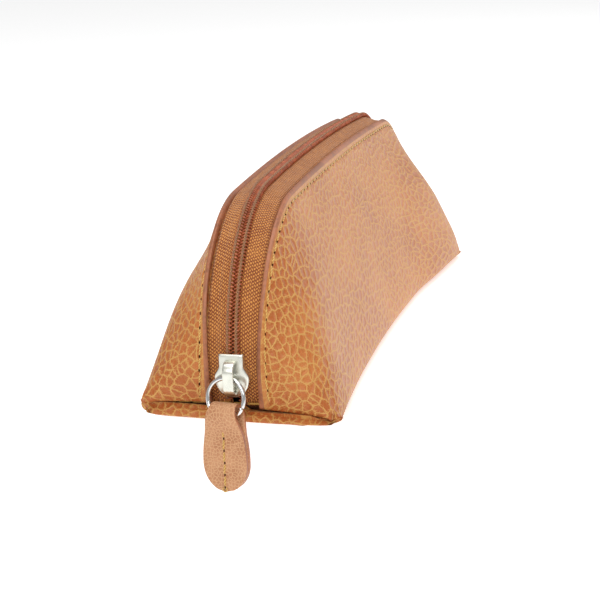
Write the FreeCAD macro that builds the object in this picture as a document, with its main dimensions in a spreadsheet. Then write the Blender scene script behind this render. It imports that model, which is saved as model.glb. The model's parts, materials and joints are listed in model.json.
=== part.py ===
"""Zippered leather pouch with a ring and leather pull, in millimetres.

The pouch lies along X with its closed slider at -X, the front panel faces -Y
and +Z is up. The origin is the middle of the flat face that it stands on.
"""
import FreeCAD, Part
import math
import os

import Sketcher

Vector = FreeCAD.Vector
FRONT = -1
BACK = 1
UP = Vector(0, 0, 1)
ALONG_Y = Vector(0, 1, 0)

# name: (value, meaning); lengths in millimetres, angles in degrees
SIZES = {
    "pouch_length": (204, "seam to seam along X"),
    "pouch_height": (58.1, "middle of the zip line above the base"),
    "seam_width": (55, "length of each end seam"),
    "waist_width": (46, "base width half way along"),
    "seam_height": (4.5, "end seams above the base"),
    "seam_slit": (0.3, "gap between the two layers at an end seam"),
    "end_lean": (17.3, "how far the ends overhang their seams"),
    "zip_crown": (1.7, "rise of the zip line between its two ends"),
    "zip_offset": (2.4, "zip line off the middle, towards the back"),
    "zip_gap": (13.4, "clear width between the two leather edges"),
    "leather": (1.9, "thickness of the leather"),
    "corner_round": (5, "rounding of the leather into the base"),
    "lining": (0.4, "thickness of the lining cloth"),
    "layer_gap": (0.1, "clearance between layers of cloth and leather"),
    "tape": (0.5, "thickness of the zip tapes"),
    "tape_flap": (8, "tape hidden under the leather"),
    "tape_split": (0.15, "half of the gap between the two tapes"),
    "chain_recess": (1.6, "chain face below the leather at the end seams"),
    "chain_end": (1.0, "chain stops above each end seam"),
    "chain_rise": (0.6, "chain face above the leather edge at the top"),
    "coil_width": (2.0, "width of one coil"),
    "coil_height": (1.5, "height of one coil"),
    "coil_split": (0.05, "half of the gap between the two coils"),
    "coil_wall": (0.45, "monofilament thickness of a coil"),
    "cord_gap": (0.05, "clearance of the filler cord in its coil"),
    "coil_thread": (0.12, "thickness of the thread that sews a coil down"),
    "coil_thread_width": (0.6, "width of that thread line"),
    "stitch_pitch": (3.85, "hole to hole along the top stitching"),
    "stitch_length": (3.1, "visible length of one stitch"),
    "stitch_radius": (0.32, "radius of the sewing thread"),
    "stitch_inset": (2.9, "top stitching from the leather edge"),
    "slider_from_seam": (9.0, "slider shoulders from the end seam"),
    "slider_nose": (6.0, "slider shoulders to the tip of its nose"),
    "slider_tail": (6.1, "slider shoulders to its tail"),
    "slider_tail_width": (6.6, "width of the straight tail"),
    "slider_shoulder_radius": (4.7, "radius of the round nose"),
    "slider_plate": (0.95, "thickness of each slider plate"),
    "slider_clearance": (0.3, "slider to coil and tape"),
    "slider_wall": (0.55, "thickness of the slider's side walls"),
    "post_radius": (0.75, "radius of the post between the plates"),
    "post_from_shoulder": (3.6, "post ahead of the shoulders"),
    "crown_width": (2.9, "width of the bridge over the ring"),
    "crown_length": (9.4, "length of the bridge"),
    "crown_height": (3.7, "height of the bridge above the plate"),
    "crown_wall": (0.75, "thickness of the bridge"),
    "pawl_width": (1.2, "width of the lock spring"),
    "pawl": (0.35, "thickness of the lock spring"),
    "ring_radius": (5.3, "ring centre line radius"),
    "ring_wire": (0.62, "radius of the ring wire"),
    "ring_clearance": (0.6, "ring wire above the slider's upper plate"),
    "ring_twist": (10, "ring turned about the vertical"),
    "ring_side": (1.0, "ring centre off the slider, towards the back"),
    "ring_tilt": (11, "ring swung out from the vertical by the pull's fold"),
    "pull_length": (24.5, "pull from its fold to its tip"),
    "pull_top_width": (8.2, "pull width at its fold"),
    "pull_width": (12.9, "widest part of the pull"),
    "pull": (3.2, "thickness of the two pull layers"),
    "loop_wall": (1.2, "leather round the ring"),
    "loop_clearance": (0.4, "ring wire to the inside of the loop"),
    "pull_stitch_pitch": (3.4, "hole to hole on the pull"),
}

doc = FreeCAD.newDocument("zippered_pouch")
sheet = doc.addObject("Spreadsheet::Sheet", "Sizes")
for row, (name, (value, meaning)) in enumerate(SIZES.items(), start=1):
    sheet.set(f"A{row}", name)
    sheet.set(f"B{row}", str(value))
    sheet.set(f"C{row}", meaning)
    sheet.setAlias(f"B{row}", name)
doc.recompute()


def size(name):
    """Value of a driving dimension."""
    return float(getattr(sheet, name))


def bind(item, **expressions):
    """Bind properties of a document object to expressions of the sheet."""
    for name, expression in expressions.items():
        item.setExpression(name.replace("__", "."), expression)
    return item


def hidden(kind, name, **expressions):
    """A construction object that another object uses up."""
    return bind(doc.addObject(kind, name), **expressions)


def labelled(item, label):
    """Name the file that an object is exported to."""
    item.Label = label
    exported.append(item)
    return item


exported = []

# The leather edge and the zip chain each follow three tangent arcs in XZ.
# The radius of each end arc comes from the height, so that they stay tangent.
LEAN = "(1 + sin(Sizes.end_lean * 1 deg))"
leather_arc = hidden(
    "Part::Circle", "leather_end_arc",
    Radius=f"(Sizes.pouch_height - Sizes.seam_height - Sizes.zip_crown) / {LEAN}")
CHAIN_HEIGHT = "(Sizes.pouch_height + Sizes.chain_rise)"
CHAIN_START = "(Sizes.seam_height + Sizes.chain_end)"
chain_arc = hidden(
    "Part::Circle", "chain_end_arc",
    Radius=f"({CHAIN_HEIGHT} - {CHAIN_START} - Sizes.zip_crown) / {LEAN}")
doc.recompute()

NEAR_STEPS = 24
TOP_STEPS = 8
# stations left bare of lining beside each end seam
LINING_STARTS = 4
# an end seam's stitches lie this many leather thicknesses in from its edge
STITCH_DEPTH = 0.75
# an end seam's slit closes within this share of the near arc
SLIT_SHARE = 1 / 6
# how far the base is sunk before its underside is cut flat
BASE_SINK = 0.1
# the coils stay parted this far past the slider's post and shoulders
PARTING_LEAD = 1.5
# cutting tools reach this far past what they cut
OVERHANG = 4
# a sewing thread stands out of its leather by this share of its radius
THREAD_RISE = 0.5
# the slider's flare ends at this share of its tail, its lock hole starts at this share
FLARE_SHARE = 0.65
HOLE_SHARE = 0.3
HOLE_LONG = 1.4
# chamfers of the crown outside and inside, in wall thicknesses
CROWN_BEVEL = 2
CROWN_INNER_BEVEL = 2.4
# the feet of the crown bite this far into the curved plate
CROWN_BITE = 0.02
# the curved wire reaches this far above and below the middle of the pull's loop
LOOP_RISE = 1.0
# width of the pull's straight sides where they meet its round end
BLADE_SHARE = 0.985
# rows of stitches on the pull, as shares of its length, and their own length
PULL_ROW = (0.15, 0.75)
PULL_STITCH_SHARE = 0.85


class ZipLine:
    """Three tangent arcs from the seam at -X over the top to the seam at +X."""

    def __init__(self, end_x, start_z, height, radius):
        lean = math.radians(size("end_lean"))
        self.radius = radius
        self.centre_x = -end_x + radius * math.cos(lean)
        self.centre_z = start_z + radius * math.sin(lean)
        drop = self.centre_z - height
        numerator = radius ** 2 - self.centre_x ** 2 - drop ** 2
        self.top_radius = numerator / (2 * (drop + radius))
        self.top_z = height - self.top_radius
        self.start = math.pi + lean
        self.shoulder = math.atan2(self.centre_z - self.top_z, self.centre_x)

    def stations(self):
        """(centre x, centre z, radius, angle of the outward normal) along the line."""
        rows = []
        sweep = self.start - self.shoulder
        for i in range(NEAR_STEPS + 1):
            angle = self.start - sweep * i / NEAR_STEPS
            rows.append((self.centre_x, self.centre_z, self.radius, angle))
        crown = 2 * self.shoulder - math.pi
        for i in range(1, TOP_STEPS):
            angle = self.shoulder - crown * i / TOP_STEPS
            rows.append((0, self.top_z, self.top_radius, angle))
        for cx, cz, radius, angle in reversed(rows[:NEAR_STEPS + 1]):
            rows.append((-cx, cz, radius, math.pi - angle))
        return rows

    def point(self, station, lift=0.0, side=0.0):
        """Point at a station, lifted along its normal and moved along Y."""
        cx, cz, radius, angle = station
        reach = radius + lift
        return Vector(cx + reach * math.cos(angle), side, cz + reach * math.sin(angle))


def outward(station):
    """Outward normal of the zip line at a station."""
    return Vector(math.cos(station[3]), 0, math.sin(station[3]))


def forward(station):
    """Direction of travel from the -X seam to the +X seam."""
    return Vector(math.sin(station[3]), 0, -math.cos(station[3]))


half_length = size("pouch_length") / 2
leather_line = ZipLine(half_length, size("seam_height") + size("seam_slit") / 2,
                       size("pouch_height"), leather_arc.Radius.Value)
chain_line = ZipLine(half_length - size("chain_recess"),
                     size("seam_height") + size("chain_end"),
                     size("pouch_height") + size("chain_rise"), chain_arc.Radius.Value)
leather_stations = leather_line.stations()
chain_stations = chain_line.stations()
LAST = len(leather_stations) - 1
zip_y = size("zip_offset")


def base_row(index):
    """Base edge beside a station: x, z, outward normal and how open the end is."""
    mirrored = index > LAST // 2
    step = min(index, LAST - index)
    lip = size("seam_height") - size("seam_slit") / 2
    creep = size("corner_round")
    fraction = min(step / NEAR_STEPS, 1)
    roll = fraction * math.pi / 2
    x = -half_length + lip * (1 - math.cos(roll)) + creep * fraction ** 3
    if step > NEAR_STEPS:
        zip_x = leather_line.point(leather_stations[step]).x
        shoulder_x = leather_line.point(leather_stations[NEAR_STEPS]).x
        x = x * zip_x / shoulder_x
    z = lip * (1 - math.sin(roll)) - BASE_SINK * math.sin(roll)
    normal = Vector(-math.cos(roll), 0, -math.sin(roll))
    if mirrored:
        x = -x
        normal.x = -normal.x
    return x, z, normal, fraction


def base_half_width(x):
    """Half of the base width at x, narrowest half way along."""
    end = size("seam_width") / 2
    waist = size("waist_width") / 2
    share = x / half_length
    return waist + (end - waist) * share * share


def leather_section(index, side):
    """Outer points and normals at a station, from the zip edge to the base."""
    station = leather_stations[index]
    x, z, base_normal, opened = base_row(index)
    lift = size("seam_slit") / 2 * (1 - min(1, opened / SLIT_SHARE))
    width = side * base_half_width(x)
    corner = Vector(x, width, z)
    wall_foot = corner + UP * lift * 2
    base_foot = Vector(corner)
    edge_y = zip_y + side * size("zip_gap") / 2
    edge = leather_line.point(station, side=edge_y)
    down = (wall_foot - edge).normalize()
    normal = down.cross(forward(station)).normalize()
    if normal.dot(outward(station) + ALONG_Y * side) < 0:
        normal = normal * -1
    leather = size("leather")
    edge = leather_line.point(station, side=edge_y + leather * normal.y)
    down = (wall_foot - edge).normalize()
    rounding = size("corner_round") * math.sin(opened * math.pi / 2) + 2 * size("seam_slit")
    wall_end = wall_foot - down * rounding
    base_end = base_foot - ALONG_Y * side * rounding
    middle = (wall_foot + base_foot) * 0.5
    points = [edge]
    normals = [normal]
    for t in (0, 1 / 3, 2 / 3, 1):
        bend = wall_end * (1 - t) ** 2 + middle * 2 * t * (1 - t) + base_end * t ** 2
        points.append(bend)
        turned = normal * (1 - t) + base_normal * t
        normals.append(turned.normalize())
    return points, normals, down


def rail(points, first):
    """Smooth edge through points, with the same parameters on every rail."""
    curve = Part.BSplineCurve()
    curve.interpolate(Points=points, Parameters=rail_parameters[first:first + len(points)])
    return curve.toShape()


rail_parameters = [0.0]
for before, after in zip(leather_stations, leather_stations[1:]):
    gap = leather_line.point(after) - leather_line.point(before)
    rail_parameters.append(rail_parameters[-1] + gap.Length)


def loft(sections, first=0):
    """Closed solid whose long edges run through matching corners of the sections."""
    corners = range(len(sections[0]))
    rails = [rail([section[i] for section in sections], first) for i in corners]
    faces = []
    for first, second in zip(rails, rails[1:] + rails[:1]):
        faces.append(Part.makeRuledSurface(first, second))
    for section in (sections[0], sections[-1]):
        faces.extend(end_faces(section))
    shell = Part.Shell(faces)
    shell.sewShape()
    solid = Part.Solid(shell)
    if solid.Volume < 0:
        solid.reverse()
    return solid


def end_faces(section):
    """Strip of faces between the first and second half of a closed section."""
    count = len(section)
    faces = []
    for i in range(count // 2 - 1):
        outer = Part.makeLine(section[i], section[i + 1])
        inner = Part.makeLine(section[count - 1 - i], section[count - 2 - i])
        faces.append(Part.makeRuledSurface(outer, inner))
    return faces


def feature(label, shape):
    """Document object that holds a shape made here."""
    item = doc.addObject("Part::Feature", label)
    item.Shape = shape
    return labelled(item, label)


def side_name(side):
    """Word for a side of the zip."""
    return "front" if side == FRONT else "back"


def wrap_section(index, depth, cut=0.0):
    """Points of the wrap at a depth under its outer face, from front to back."""
    row = []
    for side in (FRONT, BACK):
        points, normals, down = leather_section(index, side)
        placed = [point - normal * depth for point, normal in zip(points, normals)]
        placed[0] = placed[0] + down * cut
        widest = base_half_width(base_row(index)[0]) - depth
        for point in placed:
            point.y = side * min(side * point.y, widest)
        row.append(placed)
    return row[0] + row[1][::-1]


def wrap_sheet(depth, thickness, cut=0.0, first=0):
    """Sheet round the whole pouch, open along the zip and slit at the seams."""
    sections = []
    for index in range(first, LAST + 1 - first):
        outer = wrap_section(index, depth, cut)
        inner = wrap_section(index, depth + thickness, cut)
        sections.append(outer + inner[::-1])
    return loft(sections, first)


def flat_based(solid):
    """The solid with everything below the plane that the pouch stands on cut off."""
    half_width = size("seam_width") / 2
    corner = Vector(-half_length, -half_width, -OVERHANG)
    below = Part.makeBox(size("pouch_length"), size("seam_width"), OVERHANG, corner)
    return solid.cut(below).Solids[0]


def near_run(index):
    """Distance of a station from the -X seam, along the chain."""
    swept = chain_line.start - chain_stations[index][3]
    return size("chain_end") + swept * chain_line.radius


def parted(index):
    """How far each coil stands aside to pass the post of the slider."""
    if index > NEAR_STEPS:
        return 0.0
    closed_from = size("slider_from_seam") + PARTING_LEAD
    parted_from = closed_from - size("post_from_shoulder")
    ramp = (closed_from - near_run(index)) / (closed_from - parted_from)
    ramp = max(0, min(1, ramp))
    smooth = ramp * ramp * (3 - 2 * ramp)
    return smooth * (size("post_radius") + size("slider_clearance") / 2)


def tape_section(index, side):
    """Closed section of a zip tape from its hidden flap to the chain."""
    points, normals, down = leather_section(index, side)
    depth = size("leather") + size("layer_gap")
    station = chain_stations[index]
    aside = parted(index)
    coil_edge = zip_y + side * (aside + size("coil_split") + size("coil_width"))
    inner_edge = zip_y + side * (aside + size("tape_split"))

    def face(lowered):
        at_edge = points[0] - normals[0] * (depth + lowered)
        return [at_edge + down * size("tape_flap"), at_edge,
                chain_line.point(station, -lowered, coil_edge),
                chain_line.point(station, -lowered, inner_edge)]

    return face(0) + face(size("tape"))[::-1]


def bar_section(index, side, near, far, low, high):
    """Rectangle on the chain: distances from the zip line and above the tape."""
    station = chain_stations[index]
    near = zip_y + side * (parted(index) + near)
    far = zip_y + side * (parted(index) + far)
    return [chain_line.point(station, high, near), chain_line.point(station, high, far),
            chain_line.point(station, low, far), chain_line.point(station, low, near)]


def chain_bar(side, near, far, low, high):
    """Bar that follows the chain from seam to seam."""
    return loft([bar_section(i, side, near, far, low, high) for i in range(LAST + 1)])


def make_zip_half(side):
    """Tape, coil, filler cord and sewing thread of one half of the zip."""
    name = side_name(side)
    feature(f"zip_tape_{name}", loft([tape_section(i, side) for i in range(LAST + 1)]))
    near = size("coil_split")
    far = near + size("coil_width")
    low = size("layer_gap") / 2
    high = size("coil_height")
    wall = size("coil_wall")
    slack = size("cord_gap")
    coil = chain_bar(side, near, far, low, high)
    hole = chain_bar(side, near + wall, far - wall, low + wall, high - wall)
    feature(f"zip_coil_{name}", coil.cut(hole))
    inset = wall + slack
    feature(f"coil_cord_{name}",
            chain_bar(side, near + inset, far - inset, low + inset, high - inset))
    middle = (near + far) / 2
    half = size("coil_thread_width") / 2
    floor = high + slack / 2
    feature(f"coil_thread_{name}", chain_bar(side, middle - half, middle + half,
                                             floor, floor + size("coil_thread")))


def stitch_row(line, pitch, length, radius):
    """Stitches laid end to end along a line of points."""
    spots = [line[0]]
    runs = [0.0]
    for before, after in zip(line, line[1:]):
        spots.append(after)
        runs.append(runs[-1] + (after - before).Length)

    def at(run):
        for i in range(1, len(runs)):
            if run <= runs[i]:
                share = (run - runs[i - 1]) / (runs[i] - runs[i - 1])
                return spots[i - 1] + (spots[i] - spots[i - 1]) * share
        return spots[-1]

    stitches = []
    start = (runs[-1] % pitch) / 2
    while start + length < runs[-1]:
        first = at(start)
        along = at(start + length) - first
        stitches.append(Part.makeCylinder(radius, along.Length, first, along))
        start += pitch
    return Part.makeCompound(stitches)


def make_top_stitching(side):
    """Row of stitches beside a leather edge."""
    line = []
    radius = size("stitch_radius")
    for index in range(LAST + 1):
        points, normals, down = leather_section(index, side)
        raised = points[0] + normals[0] * radius * THREAD_RISE
        line.append(raised + down * size("stitch_inset"))
    feature(f"top_stitching_{side_name(side)}",
            stitch_row(line, size("stitch_pitch"), size("stitch_length"), radius))


def make_seam_stitching(label, end):
    """Stitches inside an end seam, through both layers of the leather."""
    x = end * (half_length - STITCH_DEPTH * size("leather"))
    reach = size("seam_width") / 2 - 2 * size("leather")
    z = size("seam_height")
    line = [Vector(x, -reach, z), Vector(x, reach, z)]
    feature(label, stitch_row(line, size("stitch_pitch"), size("stitch_length"),
                              size("stitch_radius")))


feature("leather_wrap", flat_based(wrap_sheet(0, size("leather"))))
feature("lining", wrap_sheet(size("leather") + size("layer_gap"), size("lining"),
                             size("tape_flap") + 1, LINING_STARTS))
for zip_side in (FRONT, BACK):
    make_zip_half(zip_side)
    make_top_stitching(zip_side)
make_seam_stitching("seam_stitching_near", -1)
make_seam_stitching("seam_stitching_far", 1)

# The slider is built at the top of the chain arc: the arc's centre is its own
# origin, Z is the way out of the pouch and its nose points to -X. Then it is
# turned about that centre to where it stands.
rest_sweep = (size("slider_from_seam") - size("chain_end")) / chain_line.radius
rest_angle = math.degrees(chain_line.start - rest_sweep)
slider_place = FreeCAD.Placement(
    Vector(chain_line.centre_x, zip_y, chain_line.centre_z),
    FreeCAD.Rotation(ALONG_Y, 90 - rest_angle))

ARC = "(chain_end_arc.Radius / 1 mm)"
PLATE_LOW = f"({ARC} + Sizes.coil_height + Sizes.coil_thread + Sizes.slider_clearance)"
PLATE_TOP = f"({PLATE_LOW} + Sizes.slider_plate)"
UNDER_TOP = f"({ARC} - Sizes.tape - Sizes.slider_clearance)"
UNDER_LOW = f"({UNDER_TOP} - Sizes.slider_plate)"
REACH = "(2 * Sizes.slider_shoulder_radius)"
NOSE_X = "(Sizes.slider_shoulder_radius - Sizes.slider_nose)"


def disc_y(name, radius):
    """Solid cylinder about the centre of the chain arc, along Y."""
    disc = hidden("Part::Cylinder", name, Radius=radius, Height=REACH)
    turn = FreeCAD.Rotation(Vector(1, 0, 0), -90)
    disc.Placement = FreeCAD.Placement(Vector(), turn)
    return bind(disc, Placement__Base__y=f"-{REACH} / 2")


def slider_outline(name, inset):
    """Upright prism with the slider's outline, smaller by an inset."""
    low = f"{UNDER_LOW} - {OVERHANG} / 2"
    tall = f"{PLATE_TOP} - {UNDER_LOW} + {OVERHANG}"
    nose = hidden("Part::Cylinder", f"{name}_nose", Height=tall,
                  Radius=f"Sizes.slider_shoulder_radius - {inset}")
    bind(nose, Placement__Base__x=NOSE_X, Placement__Base__z=low)
    tail = hidden("Part::Box", f"{name}_tail", Height=tall,
                  Length=f"Sizes.slider_tail - {NOSE_X}",
                  Width=f"Sizes.slider_tail_width - 2 * {inset}")
    bind(tail, Placement__Base__x=NOSE_X, Placement__Base__z=low,
         Placement__Base__y=f"-(Sizes.slider_tail_width / 2 - {inset})")
    flare = hidden("Part::Wedge", f"{name}_flare",
                   Xmin="0", X2min="0", Zmin=f"-(Sizes.slider_shoulder_radius - {inset})",
                   Zmax=f"Sizes.slider_shoulder_radius - {inset}",
                   Z2min=f"-(Sizes.slider_tail_width / 2 - {inset})",
                   Z2max=f"Sizes.slider_tail_width / 2 - {inset}",
                   Ymin="0", Ymax=f"Sizes.slider_tail * {FLARE_SHARE} + 1",
                   Xmax=tall, X2max=tall)
    # the wedge's own Y runs along the slider and its own X runs up
    flare.Placement = FreeCAD.Placement(
        Vector(), FreeCAD.Rotation(Vector(0, 0, 1), Vector(1, 0, 0), ALONG_Y, "XYZ"))
    bind(flare, Placement__Base__x=NOSE_X, Placement__Base__z=low)
    whole = doc.addObject("Part::MultiFuse", name)
    whole.Shapes = [nose, tail, flare]
    return whole


def cut(name, base, tool):
    """Base less tool."""
    item = doc.addObject("Part::Cut", name)
    item.Base = base
    item.Tool = tool
    return item


def common(name, *shapes):
    """What the shapes share."""
    item = doc.addObject("Part::MultiCommon", name)
    item.Shapes = list(shapes)
    return item


def make_slider_body():
    """Two arc-shaped plates, their side walls and the post between them."""
    outline = slider_outline("slider_outline", "0")
    inner = slider_outline("slider_channel", "Sizes.slider_wall")
    upper = cut("upper_shell", disc_y("plate_top", PLATE_TOP), disc_y("plate_low", PLATE_LOW))
    lower = cut("lower_shell", disc_y("under_top", UNDER_TOP), disc_y("under_low", UNDER_LOW))
    wall_foot = f"{ARC} + Sizes.slider_clearance"
    walls = cut("wall_shell", disc_y("wall_top", PLATE_LOW), disc_y("wall_foot", wall_foot))
    rim = cut("slider_rim", outline, inner)
    behind = hidden("Part::Box", "behind_mouth", Length="2 * Sizes.slider_tail",
                    Width=REACH, Height=f"{PLATE_TOP} + {OVERHANG}")
    bind(behind, Placement__Base__x=f"{NOSE_X} - 1", Placement__Base__y=f"-{REACH} / 2")
    tail_gap = hidden("Part::Box", "tail_gap", Length="2 * Sizes.slider_tail",
                      Width="Sizes.slider_tail_width - 2 * Sizes.slider_wall",
                      Height=f"{PLATE_TOP} + {OVERHANG}")
    bind(tail_gap, Placement__Base__x="Sizes.slider_tail / 2",
         Placement__Base__y="-(Sizes.slider_tail_width / 2 - Sizes.slider_wall)")
    side_walls = cut("side_walls", common("rim_walls", rim, walls, behind), tail_gap)
    post = hidden("Part::Cylinder", "post", Radius="Sizes.post_radius",
                  Height=f"{PLATE_LOW} - {UNDER_TOP} + Sizes.slider_plate")
    bind(post, Placement__Base__x="-Sizes.post_from_shoulder",
         Placement__Base__z=f"{UNDER_TOP} - Sizes.slider_plate / 2")
    hole = hidden("Part::Box", "pawl_hole", Length=f"{HOLE_LONG} * Sizes.pawl_width",
                  Width="Sizes.pawl_width + Sizes.slider_clearance",
                  Height="4 * Sizes.slider_plate")
    bind(hole, Placement__Base__x=f"Sizes.slider_tail * {HOLE_SHARE}",
         Placement__Base__y="-(Sizes.pawl_width + Sizes.slider_clearance) / 2",
         Placement__Base__z=f"{PLATE_LOW} - Sizes.slider_plate")
    whole = doc.addObject("Part::MultiFuse", "slider_solid")
    whole.Shapes = [common("upper_plate", outline, upper),
                    common("lower_plate", outline, lower), side_walls, post]
    body = cut("slider_body", whole, hole)
    body.Placement = slider_place
    return labelled(body, "slider_body")


def polygon_body(label, plane, corners, thickness):
    """Body padded both ways from a polygon whose corners are bound to the sheet."""
    body = doc.addObject("PartDesign::Body", label)
    outline = body.newObject("Sketcher::SketchObject", f"{label}_outline")
    planes = [item for item in body.Origin.OriginFeatures if item.Role == plane]
    outline.AttachmentSupport = [(planes[0], "")]
    outline.MapMode = "FlatFace"
    doc.recompute()
    count = len(corners)
    for i in range(count):
        start = Vector(i, i * i, 0)
        end = Vector(i + 1, (i + 1) ** 2, 0)
        outline.addGeometry(Part.LineSegment(start, end), False)
    for i in range(count):
        following = (i + 1) % count
        outline.addConstraint(Sketcher.Constraint("Coincident", i, 2, following, 1))
    for i, (across, upward) in enumerate(corners):
        for kind, expression in (("DistanceX", across), ("DistanceY", upward)):
            place = outline.addConstraint(Sketcher.Constraint(kind, -1, 1, i, 1, 1.0 + i))
            outline.setExpression(f"Constraints[{place}]", expression)
    pad = body.newObject("PartDesign::Pad", f"{label}_pad")
    pad.Profile = outline
    pad.Midplane = True
    pad.setExpression("Length", thickness)
    body.Tip = pad
    return labelled(body, label)


def make_crown():
    """Bridge over the ring, standing on the upper plate."""
    long = "Sizes.crown_length"
    tall = "Sizes.crown_height"
    wall = "Sizes.crown_wall"
    outer = f"{CROWN_BEVEL} * {wall}"
    inner = f"{CROWN_INNER_BEVEL} * {wall}"
    corners = [
        ("0", "0"), ("0", f"{tall} - {outer}"), (outer, tall),
        (f"{long} - {outer}", tall), (long, f"{tall} - {outer}"), (long, "0"),
        (f"{long} - {wall}", "0"), (f"{long} - {wall}", f"{tall} - {inner}"),
        (f"{long} - {inner}", f"{tall} - {wall}"), (inner, f"{tall} - {wall}"),
        (wall, f"{tall} - {inner}"), (wall, "0")]
    crown = polygon_body("slider_crown", "XZ_Plane", corners, "Sizes.crown_width")
    crown.Placement = slider_place * FreeCAD.Placement(
        Vector(-size("crown_length") / 2, 0, plate_top - crown_sink()), FreeCAD.Rotation())
    return crown


def crown_sink():
    """How much lower the curved plate is under the feet of the crown."""
    half = size("crown_length") / 2
    foot = half - size("crown_wall")
    return plate_top - math.sqrt(plate_top ** 2 - foot ** 2) - CROWN_BITE


def make_pawl():
    """Lock spring under the roof of the crown, with a tooth down to the chain."""
    thick = "Sizes.pawl"
    tooth = (f"(Sizes.slider_plate + Sizes.crown_height"
             f" - {CROWN_INNER_BEVEL} * Sizes.crown_wall)")
    long = (f"(Sizes.slider_tail * {HOLE_SHARE} + Sizes.crown_length / 4"
            " + Sizes.pawl_width - Sizes.pawl / 2)")
    corners = [("0", "0"), ("0", thick), (long, thick), (long, f"-{tooth}"),
               (f"{long} - {thick}", f"-{tooth}"), (f"{long} - {thick}", "0")]
    pawl = polygon_body("lock_spring", "XZ_Plane", corners, "Sizes.pawl_width")
    top = plate_top - crown_sink() + size("crown_height") - size("crown_wall")
    start = -size("crown_length") / 4
    pawl.Placement = slider_place * FreeCAD.Placement(
        Vector(start, 0, top - size("pawl") - size("layer_gap")), FreeCAD.Rotation())
    return pawl


def make_ring():
    """Wire ring that hangs from the crown."""
    ring = doc.addObject("Part::Torus", "pull_ring")
    bind(ring, Radius1="Sizes.ring_radius", Radius2="Sizes.ring_wire")
    ring.Placement = FreeCAD.Placement(ring_centre, ring_turn)
    return labelled(ring, "pull_ring")


def make_pull():
    """Leather strip folded round the ring and closed on itself, as a teardrop."""
    cavity = f"(Sizes.ring_wire + Sizes.loop_clearance + {LOOP_RISE})"
    loop_radius = f"({cavity} + Sizes.loop_wall)"
    round_end = "(Sizes.pull_width / 2)"
    drop = f"(Sizes.pull_length - {loop_radius})"
    disc = hidden("Part::Cylinder", "pull_round", Radius=round_end, Height="Sizes.pull")
    bind(disc, Placement__Base__z=f"-({drop} - {round_end})",
         Placement__Base__y="Sizes.pull / 2")
    disc.Placement.Rotation = FreeCAD.Rotation(Vector(1, 0, 0), 90)
    blade = hidden("Part::Wedge", "pull_blade", Xmin=f"-Sizes.pull_width / 2 * {BLADE_SHARE}",
                   Xmax=f"Sizes.pull_width / 2 * {BLADE_SHARE}", X2min="-Sizes.pull_top_width / 2",
                   X2max="Sizes.pull_top_width / 2", Ymin="0",
                   Ymax=f"{drop} - {round_end}", Zmin="-Sizes.pull / 2",
                   Zmax="Sizes.pull / 2", Z2min="-Sizes.pull / 2", Z2max="Sizes.pull / 2")
    blade.Placement.Rotation = FreeCAD.Rotation(Vector(1, 0, 0), 90)
    bind(blade, Placement__Base__z=f"-({drop} - {round_end})")
    loop = hidden("Part::Cylinder", "pull_loop", Radius=loop_radius,
                  Height="Sizes.pull_top_width")
    loop.Placement.Rotation = FreeCAD.Rotation(ALONG_Y, 90)
    bind(loop, Placement__Base__x="-Sizes.pull_top_width / 2")
    bore = hidden("Part::Cylinder", "pull_bore", Radius=cavity, Height="Sizes.pull_width")
    bore.Placement.Rotation = FreeCAD.Rotation(ALONG_Y, 90)
    bind(bore, Placement__Base__x="-Sizes.pull_width / 2")
    strip = doc.addObject("Part::MultiFuse", "pull_strip")
    strip.Shapes = [disc, blade, loop]
    pull = cut("pull_leather", strip, bore)
    pull.Placement = FreeCAD.Placement(loop_centre, pull_turn)
    return labelled(pull, "pull_leather")


def make_pull_stitching():
    """Row of stitches down the middle of the pull, on both faces."""
    radius = size("stitch_radius")
    stitches = []
    start, end = (-size("pull_length") * share for share in PULL_ROW)
    length = size("stitch_length") * PULL_STITCH_SHARE
    for face in (-1, 1):
        y = face * (size("pull") / 2 + radius * THREAD_RISE)
        line = [Vector(0, y, start), Vector(0, y, end)]
        stitches.append(stitch_row(line, size("pull_stitch_pitch"), length, radius))
    row = Part.makeCompound(stitches)
    item = feature("pull_stitching", row)
    item.Placement = FreeCAD.Placement(loop_centre, pull_turn)
    return item


plate_top = (chain_line.radius + size("coil_height") + size("coil_thread")
             + size("slider_clearance") + size("slider_plate"))
# the ring's wire passes under the crown just off the upper plate
eye_height = plate_top + size("ring_clearance") + size("ring_wire")
eye = slider_place.multVec(Vector(0, 0, eye_height))
side_turn = math.asin(size("ring_side") / size("ring_radius"))
ring_drop = size("ring_radius") * math.cos(side_turn)
twist = FreeCAD.Rotation(UP, -size("ring_twist"))
tilt = twist * FreeCAD.Rotation(ALONG_Y, size("ring_tilt"))
ring_centre = eye + tilt.multVec(Vector(0, size("ring_side"), -ring_drop))
ring_turn = tilt * FreeCAD.Rotation(ALONG_Y, -90)
loop_centre = ring_centre + tilt.multVec(UP * (LOOP_RISE - size("ring_radius")))
# the pull's own X is its width and its own Y is its thickness
pull_turn = twist * FreeCAD.Rotation(UP, 90)

make_slider_body()
make_crown()
make_pawl()
make_ring()
make_pull()
make_pull_stitching()
doc.recompute()

for item in doc.Objects:
    if "Invalid" in item.State or "Error" in item.State:
        raise RuntimeError(f"{item.Name} failed: {item.State}")
os.makedirs("parts", exist_ok=True)
for item in exported:
    if item.Shape.isNull() or not item.Shape.isValid():
        raise RuntimeError(f"{item.Label} has no valid shape")
    item.Shape.exportStep(f"parts/{item.Label}.step")
    box = item.Shape.BoundBox
    print(f"{item.Label:24s} volume {item.Shape.Volume:10.2f}"
          f"  x {box.XMin:8.2f} {box.XMax:8.2f}  y {box.YMin:7.2f} {box.YMax:7.2f}"
          f"  z {box.ZMin:7.2f} {box.ZMax:7.2f}")
print("slider arc centre", chain_line.centre_x, zip_y, chain_line.centre_z)
print("ring hinge", eye, "pull hinge", loop_centre)
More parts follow.
